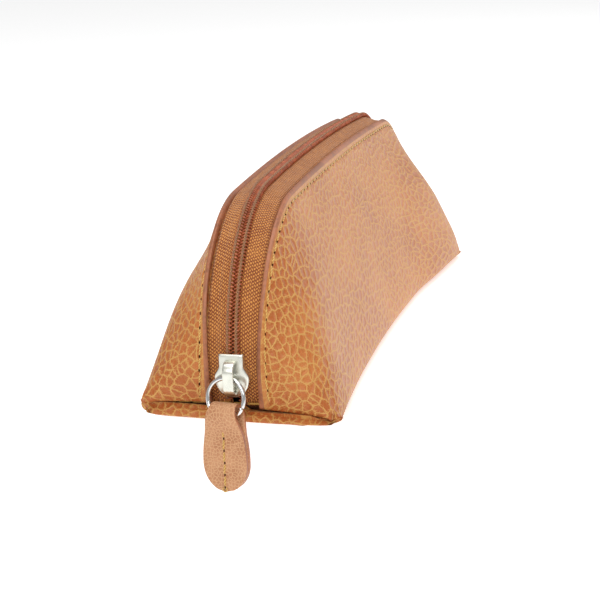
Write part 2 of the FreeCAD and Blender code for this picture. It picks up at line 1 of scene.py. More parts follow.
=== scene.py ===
"""Zippered leather pouch: leather, zip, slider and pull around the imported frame."""
import json
import math

import bpy
import numpy as np
from bpy.props import FloatProperty, FloatVectorProperty, IntProperty, PointerProperty
from mathutils import Matrix, Vector, noise


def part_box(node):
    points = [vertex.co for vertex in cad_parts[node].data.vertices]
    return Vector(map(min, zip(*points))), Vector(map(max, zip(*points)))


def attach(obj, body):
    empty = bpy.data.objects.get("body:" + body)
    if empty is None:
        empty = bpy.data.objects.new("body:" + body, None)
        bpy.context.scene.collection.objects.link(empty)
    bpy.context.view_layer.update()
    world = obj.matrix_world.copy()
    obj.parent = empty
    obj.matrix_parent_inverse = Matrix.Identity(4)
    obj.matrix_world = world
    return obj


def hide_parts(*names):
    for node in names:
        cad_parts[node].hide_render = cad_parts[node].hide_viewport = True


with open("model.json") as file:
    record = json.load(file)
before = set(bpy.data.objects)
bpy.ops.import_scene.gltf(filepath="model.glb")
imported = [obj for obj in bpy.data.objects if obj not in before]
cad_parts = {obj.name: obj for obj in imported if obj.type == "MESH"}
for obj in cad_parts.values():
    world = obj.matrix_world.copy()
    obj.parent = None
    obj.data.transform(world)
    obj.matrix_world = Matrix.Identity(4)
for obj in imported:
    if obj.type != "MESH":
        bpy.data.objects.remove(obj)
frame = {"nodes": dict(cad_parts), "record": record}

bl_info = {
    "name": "Zippered pouch",
    "version": (1, 0, 0),
    "blender": (4, 5, 0),
    "location": "3D View > Sidebar > Pouch",
    "description": "Builds the leather, zip, slider and pull of a zippered pouch",
    "category": "Object",
}

MM = 0.001
FRONT = -1
BACK = 1
# the lip under an end seam is fuller than a quarter circle by this power
LIP_FULLNESS = 0.62
# rounding of the leather from the wall to the base, in steps
TURN_STEPS = 8
# how far from an end seam, up a wall and across an end the soft leather gives way
END_REACH = 18 * MM
DROOP_REACH = 16 * MM
SAG_FROM = 12.5 * MM
SAG_FADE = 12 * MM
EAR_WIDTH = 7 * MM
# bulge of the slacker panel ends and of the middle, as shares of the fullest
SLACK_END = 0.30
SLACK_MIDDLE = 0.25
# grain beside a corner lies round it: stretch along the pouch and length of the turn
GRAIN_STRETCH = 0.8
GRAIN_TURN = 90 * MM
# columns that are not on a wall count as this far from the leather edge
OFF_WALL = 60 * MM
# the coils stay parted this far past the slider's shoulders
PARTING_LEAD = 1.5 * MM
# the camera: lens in mm, place in metres, and how it is turned in degrees
LENS = 109.1
CAMERA_AT = (-0.5495, -0.1267, 0.1493)
YAW, PITCH, ROLL = 13.86, 14.05, -1.73
# the table stands back from the near end, over a floor
TABLE_BACK = 20 * MM
TABLE_ROUND = 6 * MM
FLOOR_Z = -0.25
STAGE_REACH = 3.0
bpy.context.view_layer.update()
JOINTS = {joint["name"]: joint for joint in frame["record"]["behaviour"]["joints"]}


def length(name, description, default):
    """A size in metres, given here in millimetres."""
    return FloatProperty(name=name, description=description, default=default * MM,
                         min=0.0, precision=5, unit="LENGTH", subtype="DISTANCE")


def colour(name, description, *default):
    """A linear colour."""
    return FloatVectorProperty(name=name, description=description, default=default,
                               size=3, min=0.0, max=1.0, subtype="COLOR")


class PouchSizes(bpy.types.PropertyGroup):
    """Sizes that the pieces of the pouch share."""

    end_lean: FloatProperty(name="End lean", description="How far the ends overhang",
                            default=math.radians(17.3), subtype="ANGLE")
    zip_crown: length("Zip crown", "Rise of the zip line between its ends", 1.7)
    zip_gap: length("Zip gap", "Width between the two leather edges", 13.4)
    seam_width: length("Seam width", "Length of each end seam", 55)
    waist_width: length("Waist width", "Base width half way along", 46)
    seam_height: length("Seam height", "End seams above the base", 4.5)
    seam_slit: length("Seam slit", "Gap between the layers at an end seam", 0.3)
    corner_round: length("Corner round", "Rounding of the leather into the base", 5)
    leather: length("Leather", "Thickness of the leather", 1.9)
    turned_edge: length("Turned edge", "Radius of the turned edges at the end seams", 0.75)
    lip_swell: length("Lip swell", "How far the lip under an end seam stands out", 2.6)
    lip_droop: length("Lip droop", "How far the free near lip hangs below the base", 1.4)
    bulge: length("Bulge", "How far the soft panels bulge towards their ends", 3.4)
    seam_sag: length("Seam sag", "How far an end seam sags at its front corner", 2.7)
    ear_round: length("Ear round", "Rise of the lip's lower corners", 2.4)
    plan_round: length("Plan round", "Rounding of the end corners seen from above", 3.5)
    painted_edge: length("Painted edge", "Edge paint that laps over the face", 1.3)
    chain_recess: length("Chain recess", "Chain below the leather at the end seams", 1.6)
    chain_end: length("Chain end", "Chain stops above each end seam", 1.0)
    chain_rise: length("Chain rise", "Chain above the leather edge at the top", 0.6)
    tape: length("Tape", "Thickness of the zip tapes", 0.5)
    tape_flap: length("Tape flap", "Tape hidden under the leather", 8)
    tooth_pitch: length("Tooth pitch", "From one turn of a coil to the next", 1.0)
    coil_width: length("Coil width", "Width of one coil", 2.0)
    coil_height: length("Coil height", "Height of one coil", 1.5)
    coil_wire: length("Coil wire", "Diameter of the coil's monofilament", 0.46)
    stitch_pitch: length("Stitch pitch", "Hole to hole along the top stitching", 3.85)
    stitch_length: length("Stitch length", "Visible length of one stitch", 3.25)
    stitch_inset: length("Stitch inset", "Top stitching from the leather edge", 2.9)
    thread: length("Thread", "Diameter of the sewing thread", 0.62)
    slider_from_seam: length("Slider from seam", "Slider shoulders from the seam", 9.0)
    slider_nose: length("Slider nose", "Shoulders to the tip of the nose", 6.0)
    slider_tail: length("Slider tail", "Shoulders to the tail", 6.1)
    slider_tail_width: length("Tail width", "Width of the straight tail", 6.6)
    slider_width: length("Slider width", "Width across the shoulders", 9.4)
    slider_plate: length("Slider plate", "Thickness of each slider plate", 0.95)
    slider_clearance: length("Slider clearance", "Slider to coil and tape", 0.3)
    slider_wall: length("Slider wall", "Thickness of the side walls", 0.55)
    post_from_shoulder: length("Post", "Post ahead of the shoulders", 3.6)
    post: length("Post diameter", "Diameter of the post between the plates", 1.5)
    crown_width: length("Crown width", "Width of the bridge over the ring", 2.9)
    crown_length: length("Crown length", "Length of the bridge", 9.4)
    crown_height: length("Crown height", "Bridge above the upper plate", 3.7)
    crown_wall: length("Crown wall", "Thickness of the bridge", 0.75)
    ring_radius: length("Ring radius", "Centre line radius of the ring", 5.3)
    ring_wire: length("Ring wire", "Diameter of the ring's wire", 1.24)
    ring_side: length("Ring side", "Ring centre off the slider", 1.0)
    ring_tilt: FloatProperty(name="Ring tilt", description="Ring out of the vertical",
                             default=math.radians(11), subtype="ANGLE")
    pull_length: length("Pull length", "Pull from its fold to its tip", 24.5)
    pull_top_width: length("Pull top width", "Pull width at its fold", 6.8)
    pull_width: length("Pull width", "Widest part of the pull", 12.9)
    pull: length("Pull", "Thickness of the two pull layers", 3.2)
    loop_wall: length("Loop wall", "Leather round the ring", 1.2)
    loop_rise: length("Loop rise", "Play of the ring's wire in the loop", 1.0)
    loop_clearance: length("Loop clearance", "Ring wire to the inside of the loop", 0.4)
    pull_stitch_pitch: length("Pull stitch pitch", "Hole to hole on the pull", 3.4)
    grain: length("Grain", "Size of a pebble of the leather", 2.35)
    grid: length("Grid", "Spacing of the leather's mesh", 1.2)
    stations: IntProperty(name="Stations", description="Steps along the zip line",
                          default=96, min=24)


class PouchColours(bpy.types.PropertyGroup):
    """Colours of the finishes."""

    pebble: colour("Pebble", "Top of the leather's pebbles", 0.57, 0.160, 0.038)
    crease: colour("Crease", "Creases between the pebbles", 0.66, 0.36, 0.10)
    edge_paint: colour("Edge paint", "Painted cut edges", 0.40, 0.145, 0.068)
    pull_pebble: colour("Pull pebble", "Grain of the pull", 0.62, 0.29, 0.145)
    pull_crease: colour("Pull crease", "Creases of the pull", 0.74, 0.43, 0.23)
    tape: colour("Tape", "Raised yarn of the zip tape", 0.86, 0.36, 0.085)
    tape_shade: colour("Tape shade", "Between the yarns", 0.27, 0.060, 0.010)
    coil: colour("Coil", "Monofilament", 0.36, 0.085, 0.030)
    coil_thread: colour("Coil thread", "Thread over the coils", 0.80, 0.36, 0.11)
    thread: colour("Thread", "Golden sewing thread", 0.90, 0.56, 0.14)
    thread_shade: colour("Thread shade", "Between the plies", 0.45, 0.20, 0.035)
    # painted shade: a near-black colour that stands in for the shade inside the needle holes
    hole: colour("Needle hole", "Dark of a needle hole", 0.035, 0.010, 0.004)
    lining: colour("Lining", "Lining cloth", 0.17, 0.065, 0.025)
    nickel: colour("Nickel", "Satin nickel plate", 0.90, 0.90, 0.80)
    ring: colour("Ring", "Bright nickel plate", 0.86, 0.87, 0.86)
    spring: colour("Spring", "Spring steel", 0.5, 0.5, 0.5)
    floor: colour("Floor", "Table and floor", 0.9, 0.9, 0.9)


def sizes():
    """Sizes in use."""
    return bpy.context.scene.pouch_sizes


def colours():
    """Colours in use."""
    return bpy.context.scene.pouch_colours


# The zip line and the leather that hangs from it.


class ZipLine:
    """Three tangent arcs in XZ: t runs 0-1 up the near end, 1-2 over, 2-3 down."""

    def __init__(self, end_x, start_z, height):
        lean = sizes().end_lean
        self.radius = (height - start_z - sizes().zip_crown) / (1 + math.sin(lean))
        self.centre_x = -end_x + self.radius * math.cos(lean)
        self.centre_z = start_z + self.radius * math.sin(lean)
        drop = self.centre_z - height
        numerator = self.radius ** 2 - self.centre_x ** 2 - drop ** 2
        self.top_radius = numerator / (2 * (drop + self.radius))
        self.top_z = height - self.top_radius
        self.start = math.pi + lean
        self.shoulder = math.atan2(self.centre_z - self.top_z, self.centre_x)
        self.near = self.radius * (self.start - self.shoulder)
        self.top = self.top_radius * (2 * self.shoulder - math.pi)

    def at(self, t):
        """Centre x, centre z, radius and angle of the outward normal at t."""
        t = np.asarray(t, float)
        near = self.start - (self.start - self.shoulder) * np.minimum(t, 3 - t)
        near = np.where(t > 1.5, math.pi - near, near)
        over = self.shoulder - (2 * self.shoulder - math.pi) * (t - 1)
        on_top = (t > 1) & (t < 2)
        centre_x = np.where(on_top, 0.0, np.where(t > 1.5, -self.centre_x, self.centre_x))
        centre_z = np.where(on_top, self.top_z, self.centre_z)
        radius = np.where(on_top, self.top_radius, self.radius)
        return centre_x, centre_z, radius, np.where(on_top, over, near)

    def point(self, t, lift=0.0, side=0.0):
        """Points at t, lifted along the normal and moved along Y."""
        cx, cz, radius, angle = self.at(t)
        reach = radius + lift
        y = np.broadcast_to(np.asarray(side, float), angle.shape)
        return np.stack([cx + reach * np.cos(angle), y, cz + reach * np.sin(angle)], -1)

    def run_of(self, t):
        """Distance along the line from the -X seam."""
        t = np.asarray(t, float)
        return (self.near * np.clip(t, 0, 1) + self.top * np.clip(t - 1, 0, 1)
                + self.near * np.clip(t - 2, 0, 1))

    def t_of(self, run):
        """The t at a distance along the line."""
        run = np.asarray(run, float)
        over = run - self.near
        far = over - self.top
        return (np.clip(run / self.near, 0, 1) + np.clip(over / self.top, 0, 1)
                + np.clip(far / self.near, 0, 1))

    @property
    def total(self):
        return 2 * self.near + self.top


def unit(vectors):
    """Vectors of length one."""
    return vectors / np.linalg.norm(vectors, axis=-1, keepdims=True)


def eased(share):
    """Share held between 0 and 1, with a soft start and end."""
    share = np.clip(share, 0, 1)
    return share * share * (3 - 2 * share)


def pouch_reach():
    """Half length at the seams and height of the leather, from the frame."""
    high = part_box("leather_wrap")[1]
    lean = sizes().end_lean
    height = high.z
    start_z = sizes().seam_height + sizes().seam_slit / 2
    radius = (height - start_z - sizes().zip_crown) / (1 + math.sin(lean))
    return high.x - radius * (1 - math.cos(lean)), height


def leather_line():
    """Line of the leather edges."""
    half, height = pouch_reach()
    return ZipLine(half, sizes().seam_height + sizes().seam_slit / 2, height)


def chain_line():
    """Line of the zip chain, on the upper face of the tapes."""
    half, height = pouch_reach()
    return ZipLine(half - sizes().chain_recess, sizes().seam_height + sizes().chain_end,
                   height + sizes().chain_rise)


def zip_y():
    """Middle of the zip, where the slider's joint is."""
    return JOINTS["slider_travel"]["pos_m"][1]


def base_half_width(x):
    """Half of the base width at x, narrowest half way along."""
    half, _ = pouch_reach()
    waist = sizes().waist_width / 2
    return waist + (sizes().seam_width / 2 - waist) * (x / half) ** 2


def base_edge(t):
    """Base edge beside t: x, z and how far the end has opened from its seam."""
    line = leather_line()
    half, _ = pouch_reach()
    s = sizes()
    opened = np.clip(np.minimum(t, 3 - t), 0, 1)
    roll = opened * math.pi / 2
    lip = s.seam_height - s.seam_slit / 2
    swell = s.lip_swell * np.sin(np.clip(opened * 2.2, 0, 1) * math.pi)
    x = -half + lip * (1 - np.cos(roll) ** LIP_FULLNESS) + s.corner_round * opened ** 3 - swell
    x = np.where(t > 1.5, -x, x)
    shoulder = line.point(np.array([1.0]))[0, 0]
    zip_x = line.point(t)[:, 0]
    inner = (-half + lip + s.corner_round) * zip_x / shoulder
    x = np.where((t > 1) & (t < 2), inner, x)
    z = np.maximum(lip * (1 - np.sin(roll) ** LIP_FULLNESS), 0)
    return x, z, opened


def wall_frame(t, side):
    """Zip edge, foot of the wall and the wall's normal and slope at t."""
    line = leather_line()
    s = sizes()
    x, z, opened = base_edge(t)
    lift = s.seam_slit * (1 - np.clip(opened * 6, 0, 1))
    corner = np.stack([x, side * base_half_width(x), z], -1)
    foot = corner + np.stack([0 * x, 0 * x, lift], -1)
    edge_y = zip_y() + side * s.zip_gap / 2
    edge = line.point(t, side=edge_y)
    angle = line.at(t)[3]
    onward = np.stack([np.sin(angle), 0 * angle, -np.cos(angle)], -1)
    outward = np.stack([np.cos(angle), 0 * angle + side, np.sin(angle)], -1)
    normal = unit(np.cross(unit(foot - edge), onward))
    flip = np.sign(np.sum(normal * outward, -1, keepdims=True))
    normal = normal * flip
    edge = line.point(t, side=edge_y + s.leather * normal[:, 1])
    return edge, foot, corner, unit(foot - edge), normal, opened


def stations():
    """Values of t from seam to seam, closer together beside the seams."""
    s = sizes()
    line = leather_line()
    lead = np.array([0, 0.18, 0.4, 0.7, 1.0, 1.4, 1.9]) * MM / line.near
    inner = np.linspace(2.6 * MM / line.near, 1, s.stations // 3 * 2)
    over = np.linspace(1, 2, s.stations)[1:-1]
    half = np.concatenate([lead, inner])
    return np.concatenate([half, over, 3 - half[::-1]])


# Meshes.


def grid_faces(rows, columns, start=0, closed=False):
    """Quads between neighbouring rows of points."""
    faces = []
    last = columns if closed else columns - 1
    for i in range(rows - 1):
        for j in range(last):
            k = (j + 1) % columns
            a = start + i * columns
            faces.append((a + j, a + columns + j, a + columns + k, a + k))
    return faces


def new_piece(name, points, faces, finishes, body, nodes=()):
    """Smooth mesh object that rides on a body and may stand for CAD nodes."""
    mesh = bpy.data.meshes.new(name)
    mesh.from_pydata([tuple(p) for p in points], [], faces)
    mesh.validate()
    mesh.update()
    for finish in finishes:
        mesh.materials.append(finish)
    mesh.polygons.foreach_set("use_smooth", [True] * len(mesh.polygons))
    piece = bpy.data.objects.new(name, mesh)
    bpy.context.scene.collection.objects.link(piece)
    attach(piece, body)
    if nodes:
        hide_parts(*nodes)
    return piece


def paint_uv(piece, name, coordinates):
    """UV map from one pair of coordinates for each vertex."""
    mesh = piece.data
    layer = mesh.uv_layers.new(name=name)
    corners = np.empty(len(mesh.loops), dtype=np.int32)
    mesh.loops.foreach_get("vertex_index", corners)
    values = np.asarray(coordinates, np.float32)[corners]
    layer.data.foreach_set("uv", values.ravel())


def point_value(piece, name, values):
    """Float attribute on the vertices, for a finish to read."""
    attribute = piece.data.attributes.new(name, "FLOAT", "POINT")
    attribute.data.foreach_set("value", np.asarray(values, np.float32))


class Tubes:
    """Round strands gathered into one mesh, with their length and turn as UV."""

    def __init__(self):
        self.points = []
        self.faces = []
        self.uv = []
        self.count = 0

    def add(self, path, radii, sides=8, up=(0, 0, 1), closed=False):
        """A strand along a path of points."""
        path = np.asarray(path, float)
        n = len(path)
        radii = np.broadcast_to(np.asarray(radii, float), (n,))
        if closed:
            along = unit(np.roll(path, -1, 0) - np.roll(path, 1, 0))
        else:
            along = unit(np.gradient(path, axis=0))
        up = np.broadcast_to(np.asarray(up, float), (n, 3))
        across = unit(np.cross(along, up))
        lift = unit(np.cross(across, along))
        turn = np.linspace(0, 2 * math.pi, sides, endpoint=False)
        ring = (across[:, None] * np.cos(turn)[None, :, None]
                + lift[:, None] * np.sin(turn)[None, :, None])
        points = path[:, None] + ring * radii[:, None, None]
        steps = np.linalg.norm(np.diff(path, axis=0), axis=1)
        run = np.concatenate([[0], np.cumsum(steps)])
        uv = np.stack(np.broadcast_arrays(run[:, None], turn[None] / (2 * math.pi)), -1)
        start = self.count
        self.points.append(points.reshape(-1, 3))
        self.uv.append(uv.reshape(-1, 2))
        self.faces += grid_faces(n, sides, start, closed=True)
        if closed:
            last = start + (n - 1) * sides
            for j in range(sides):
                k = (j + 1) % sides
                self.faces.append((last + j, start + j, start + k, last + k))
        else:
            self.faces.append(tuple(start + j for j in range(sides)))
            self.faces.append(tuple(start + (n - 1) * sides + j
                                    for j in reversed(range(sides))))
        self.count += n * sides

    def piece(self, name, finishes, body, slot_name, nodes=()):
        """The strands as one object."""
        made = new_piece(name, np.concatenate(self.points), self.faces, finishes, body,
                         nodes)
        paint_uv(made, "Strand", np.concatenate(self.uv) / MM)
        return made


# Node helpers.


def put(tree, kind, inputs=None, **settings):
    """A shader node with its settings, values and links."""
    node = tree.nodes.new(kind)
    for name, value in settings.items():
        setattr(node, name, value)
    for name, value in (inputs or {}).items():
        if isinstance(value, bpy.types.NodeSocket):
            tree.links.new(value, node.inputs[name])
        else:
            node.inputs[name].default_value = value
    return node


def calc(tree, operation, first, second=0.5, third=0.5):
    """Result of a math node."""
    return put(tree, "ShaderNodeMath", {0: first, 1: second, 2: third},
               operation=operation).outputs[0]


def spread(tree, value, low, high, to_low=0.0, to_high=1.0, smooth=True):
    """Value mapped from one range to another."""
    kind = "SMOOTHSTEP" if smooth else "LINEAR"
    return put(tree, "ShaderNodeMapRange",
               {"Value": value, "From Min": low, "From Max": high,
                "To Min": to_low, "To Max": to_high},
               interpolation_type=kind).outputs["Result"]


def blend_colour(tree, share, first, second):
    """Colour between two colours."""
    node = put(tree, "ShaderNodeMix", {0: share}, data_type="RGBA")
    for slot, value in ((6, first), (7, second)):
        if isinstance(value, bpy.types.NodeSocket):
            tree.links.new(value, node.inputs[slot])
        else:
            node.inputs[slot].default_value = (*value, 1.0)
    return node.outputs[2]


def specks(tree, where, per_metre, detail=3.0, roughness=0.6):
    """Noise at so many features in a metre."""
    return put(tree, "ShaderNodeTexNoise",
               {"Vector": where, "Scale": per_metre, "Detail": detail,
                "Roughness": roughness}).outputs["Fac"]


def finish_start(name):
    """Empty node material, its tree, its shader and its place coordinates."""
    material = bpy.data.materials.new(name)
    material.use_nodes = True
    tree = material.node_tree
    shader = tree.nodes["Principled BSDF"]
    where = put(tree, "ShaderNodeTexCoord").outputs["Object"]
    return material, tree, shader, where


def bump_up(tree, shader, height, distance):
    """Bump from a height of 0 to 1 that stands for a distance."""
    bump = put(tree, "ShaderNodeBump",
               {"Height": height, "Distance": distance, "Strength": 1.0})
    tree.links.new(bump.outputs["Normal"], shader.inputs["Normal"])


def warped(tree, where, per_metre, amount):
    """Coordinates pushed about by noise."""
    cloud = put(tree, "ShaderNodeTexNoise",
                {"Vector": where, "Scale": per_metre, "Detail": 2.0}).outputs["Color"]
    centred = put(tree, "ShaderNodeVectorMath", {0: cloud, 1: (0.5, 0.5, 0.5)},
                  operation="SUBTRACT").outputs[0]
    pushed = put(tree, "ShaderNodeVectorMath", {0: centred, "Scale": amount},
                 operation="SCALE").outputs[0]
    return put(tree, "ShaderNodeVectorMath", {0: where, 1: pushed},
               operation="ADD").outputs[0]


def creases(tree, where, cell):
    """Distance to the nearest crease between pebbles of a size, in pebbles."""
    return put(tree, "ShaderNodeTexVoronoi", {"Vector": where, "Scale": 1 / cell},
               feature="DISTANCE_TO_EDGE", voronoi_dimensions="2D").outputs["Distance"]


# Finishes.


def pebbled_leather(name, pebble, crease, cell, depth, shine, press=None):
    """Full grain leather: domed pebbles, pale fine creases and a soft shine."""
    material, tree, shader, _ = finish_start(name)
    where = put(tree, "ShaderNodeUVMap", uv_map="Grain").outputs[0]
    cell = cell / MM
    loose = warped(tree, where, 0.45 / cell, cell * 0.55)
    loose = warped(tree, loose, 2.0 / cell, cell * 0.16)
    main = creases(tree, loose, cell)
    fine = creases(tree, warped(tree, where, 0.9 / cell, cell * 0.6), cell * 0.50)
    cross = creases(tree, warped(tree, where, 0.6 / cell, cell * 0.9), cell * 0.83)
    patch = specks(tree, where, 0.10 / cell, 2.0)
    flat = spread(tree, main, 0.0, 0.11)
    thin = spread(tree, fine, 0.0, 0.10)
    third = spread(tree, cross, 0.0, 0.06)
    near_crease = spread(tree, main, 0.36, 0.05)
    line = calc(tree, "SUBTRACT", 2.0, calc(tree, "ADD", thin, third))
    star = calc(tree, "MULTIPLY", near_crease, line)
    tone = calc(tree, "SUBTRACT", flat, calc(tree, "MULTIPLY", star, 0.75))
    tone = calc(tree, "SUBTRACT", tone, calc(tree, "MULTIPLY", line, 0.16))
    grit = specks(tree, where, 5.5 / cell, 4.0, 0.7)
    tone = calc(tree, "ADD", tone, spread(tree, grit, 0.3, 0.7, -0.14, 0.14, False))
    tone = calc(tree, "ADD", tone, spread(tree, patch, 0.3, 0.7, -0.10, 0.10, False))
    if press:
        near = put(tree, "ShaderNodeAttribute", attribute_name=press).outputs["Fac"]
        pressed = spread(tree, near, 3.4, 2.2)
        soft = calc(tree, "MULTIPLY_ADD", tone, 0.5, spread(tree, grit, 0.2, 0.8, 0.1, 0.4))
        tone = blend_value(tree, pressed, tone, soft)
    tone = put(tree, "ShaderNodeClamp", {"Value": tone}).outputs[0]
    deep = tuple(c * f for c, f in zip(pebble, (0.82, 0.74, 0.68)))
    body = blend_colour(tree, spread(tree, patch, 0.35, 0.62), pebble, deep)
    mixed = blend_colour(tree, tone, crease, body)
    tree.links.new(mixed, shader.inputs["Base Color"])
    dome = spread(tree, main, 0.0, 0.42)
    height = calc(tree, "ADD", calc(tree, "MULTIPLY", dome, 0.75),
                  calc(tree, "MULTIPLY", thin, 0.14))
    height = calc(tree, "ADD", height, calc(tree, "MULTIPLY", grit, 0.12))
    if press:
        height = blend_value(tree, pressed, height,
                             calc(tree, "MULTIPLY_ADD", height, 0.25, 0.5))
    bump_up(tree, shader, height, depth)
    rough = spread(tree, tone, 0.0, 1.0, shine + 0.16, shine, False)
    rough = calc(tree, "ADD", rough, spread(tree, grit, 0.2, 0.8, -0.05, 0.05, False))
    tree.links.new(rough, shader.inputs["Roughness"])
    shader.inputs["Specular IOR Level"].default_value = 0.45
    shader.inputs["Sheen Weight"].default_value = 0.10
    shader.inputs["Sheen Roughness"].default_value = 0.4
    shader.inputs["Sheen Tint"].default_value = (1.0, 0.82, 0.62, 1.0)
    shader.inputs["Specular Tint"].default_value = (1.0, 0.90, 0.76, 1.0)
    return material


def blend_value(tree, share, first, second):
    """Number between two numbers."""
    return put(tree, "ShaderNodeMix", {0: share, 2: first, 3: second},
               data_type="FLOAT").outputs[0]


def edge_paint(name, tint):
    """Brown paint on a cut edge: smooth, with a faint drag along it."""
    material, tree, shader, where = finish_start(name)
    drag = specks(tree, where, 900.0, 3.0)
    patch = specks(tree, where, 90.0, 2.0)
    dark = tuple(c * 0.72 for c in tint)
    light = tuple(min(1.0, c * 1.22) for c in tint)
    share = calc(tree, "ADD", calc(tree, "MULTIPLY", drag, 0.5),
                 calc(tree, "MULTIPLY", patch, 0.5))
    shade = blend_colour(tree, spread(tree, share, 0.35, 0.65), dark, light)
    tree.links.new(shade, shader.inputs["Base Color"])
    tree.links.new(spread(tree, drag, 0.3, 0.7, 0.38, 0.52, False),
                   shader.inputs["Roughness"])
    bump_up(tree, shader, share, 0.08 * MM)
    return material


def zip_weave(name, raised, shade):
    """Ribbed tape: staggered yarn specks in columns along the tape."""
    material, tree, shader, where = finish_start(name)
    strand = put(tree, "ShaderNodeUVMap", uv_map="Weave").outputs[0]
    parts = put(tree, "ShaderNodeSeparateXYZ", {0: strand})
    jitter = specks(tree, where, 700.0, 2.0)
    along = calc(tree, "MULTIPLY", parts.outputs[0], 1 / 1.05)
    across = calc(tree, "MULTIPLY", parts.outputs[1], 1 / 0.62)
    across = calc(tree, "ADD", across, calc(tree, "MULTIPLY", jitter, 0.35))
    column = calc(tree, "FLOOR", across)
    stagger = calc(tree, "MULTIPLY", calc(tree, "MODULO", column, 2.0), 0.5)
    slant = calc(tree, "MULTIPLY", calc(tree, "PINGPONG", across, 1.0), 0.35)
    phase = calc(tree, "ADD", calc(tree, "ADD", along, stagger), slant)
    phase = calc(tree, "ADD", phase, calc(tree, "MULTIPLY", jitter, 0.6))
    rib = calc(tree, "SINE", calc(tree, "MULTIPLY", phase, 2 * math.pi))
    rib = spread(tree, rib, -0.9, 0.9)
    cell = calc(tree, "SINE", calc(tree, "MULTIPLY", calc(tree, "FRACT", across), math.pi))
    speck = calc(tree, "MULTIPLY", rib, calc(tree, "POWER", cell, 0.6))
    fibre = specks(tree, where, 3800.0, 3.0, 0.7)
    patch = specks(tree, where, 260.0, 2.0)
    tone = calc(tree, "ADD", speck, spread(tree, fibre, 0.3, 0.7, -0.22, 0.22, False))
    tone = calc(tree, "ADD", tone, spread(tree, patch, 0.3, 0.7, -0.14, 0.14, False))
    tone = put(tree, "ShaderNodeClamp", {"Value": tone}).outputs[0]
    middle = tuple(a * 0.55 + b * 0.45 for a, b in zip(raised, shade))
    low = blend_colour(tree, spread(tree, tone, 0.0, 0.45), shade, middle)
    mixed = blend_colour(tree, spread(tree, tone, 0.35, 0.95), low, raised)
    tree.links.new(mixed, shader.inputs["Base Color"])
    height = calc(tree, "ADD", speck, calc(tree, "MULTIPLY", fibre, 0.3))
    bump_up(tree, shader, height, 0.22 * MM)
    shader.inputs["Roughness"].default_value = 0.72
    shader.inputs["Sheen Weight"].default_value = 0.25
    shader.inputs["Sheen Roughness"].default_value = 0.35
    return material


def plied_thread(name, light, dark, pitch, rough=0.45):
    """Twisted thread: slanting plies along the strand."""
    material, tree, shader, where = finish_start(name)
    uv = put(tree, "ShaderNodeUVMap", uv_map="Strand").outputs[0]
    parts = put(tree, "ShaderNodeSeparateXYZ", {0: uv})
    along = calc(tree, "MULTIPLY", parts.outputs[0], 1 / pitch)
    around = calc(tree, "MULTIPLY", parts.outputs[1], 3 * MM)
    phase = calc(tree, "ADD", along, around)
    ply = calc(tree, "SINE", calc(tree, "MULTIPLY", phase, 2 * math.pi))
    fibre = specks(tree, where, 5200.0, 3.0, 0.7)
    share = calc(tree, "ADD", spread(tree, ply, -1.0, 0.3),
                 spread(tree, fibre, 0.3, 0.7, -0.25, 0.2, False))
    share = put(tree, "ShaderNodeClamp", {"Value": share}).outputs[0]
    tree.links.new(blend_colour(tree, share, dark, light), shader.inputs["Base Color"])
    bump_up(tree, shader, calc(tree, "ADD", ply, fibre), 0.05 * MM)
    tree.links.new(spread(tree, fibre, 0.3, 0.7, rough - 0.06, rough + 0.08, False),
                   shader.inputs["Roughness"])
    shader.inputs["Sheen Weight"].default_value = 0.3
    return material


def plain_cloth(name, light, dark, thread_size):
    """Plain weave seen by where it is, for cloth and cords with no strand map."""
    material, tree, shader, where = finish_start(name)
    parts = put(tree, "ShaderNodeSeparateXYZ", {0: where})
    wave = 2 * math.pi / thread_size
    warp = calc(tree, "SINE", calc(tree, "MULTIPLY", parts.outputs[0], wave))
    rise = calc(tree, "ADD", parts.outputs[1], parts.outputs[2])
    weft = calc(tree, "SINE", calc(tree, "MULTIPLY", rise, wave))
    weave = calc(tree, "MULTIPLY", warp, weft)
    fibre = specks(tree, where, 2 / thread_size, 3.0, 0.7)
    share = calc(tree, "ADD", spread(tree, weave, -0.8, 0.8),
                 spread(tree, fibre, 0.3, 0.7, -0.3, 0.3, False))
    share = put(tree, "ShaderNodeClamp", {"Value": share}).outputs[0]
    tree.links.new(blend_colour(tree, share, dark, light), shader.inputs["Base Color"])
    bump_up(tree, shader, calc(tree, "ADD", weave, fibre), thread_size * 0.15)
    tree.links.new(spread(tree, fibre, 0.2, 0.8, 0.7, 0.9, False),
                   shader.inputs["Roughness"])
    return material


def nylon(name, tint):
    """Monofilament: dark and shiny, with a cloudy tone."""
    material, tree, shader, where = finish_start(name)
    cloud = specks(tree, where, 420.0, 3.0)
    light = (tint[0] * 1.7, tint[1] * 1.9, tint[2] * 2.0)
    tree.links.new(blend_colour(tree, spread(tree, cloud, 0.35, 0.7), tint, light),
                   shader.inputs["Base Color"])
    fine = specks(tree, where, 2600.0, 2.0)
    tree.links.new(spread(tree, fine, 0.3, 0.7, 0.26, 0.42, False),
                   shader.inputs["Roughness"])
    bump_up(tree, shader, fine, 0.02 * MM)
    shader.inputs["Coat Weight"].default_value = 0.25
    shader.inputs["Coat Roughness"].default_value = 0.2
    return material


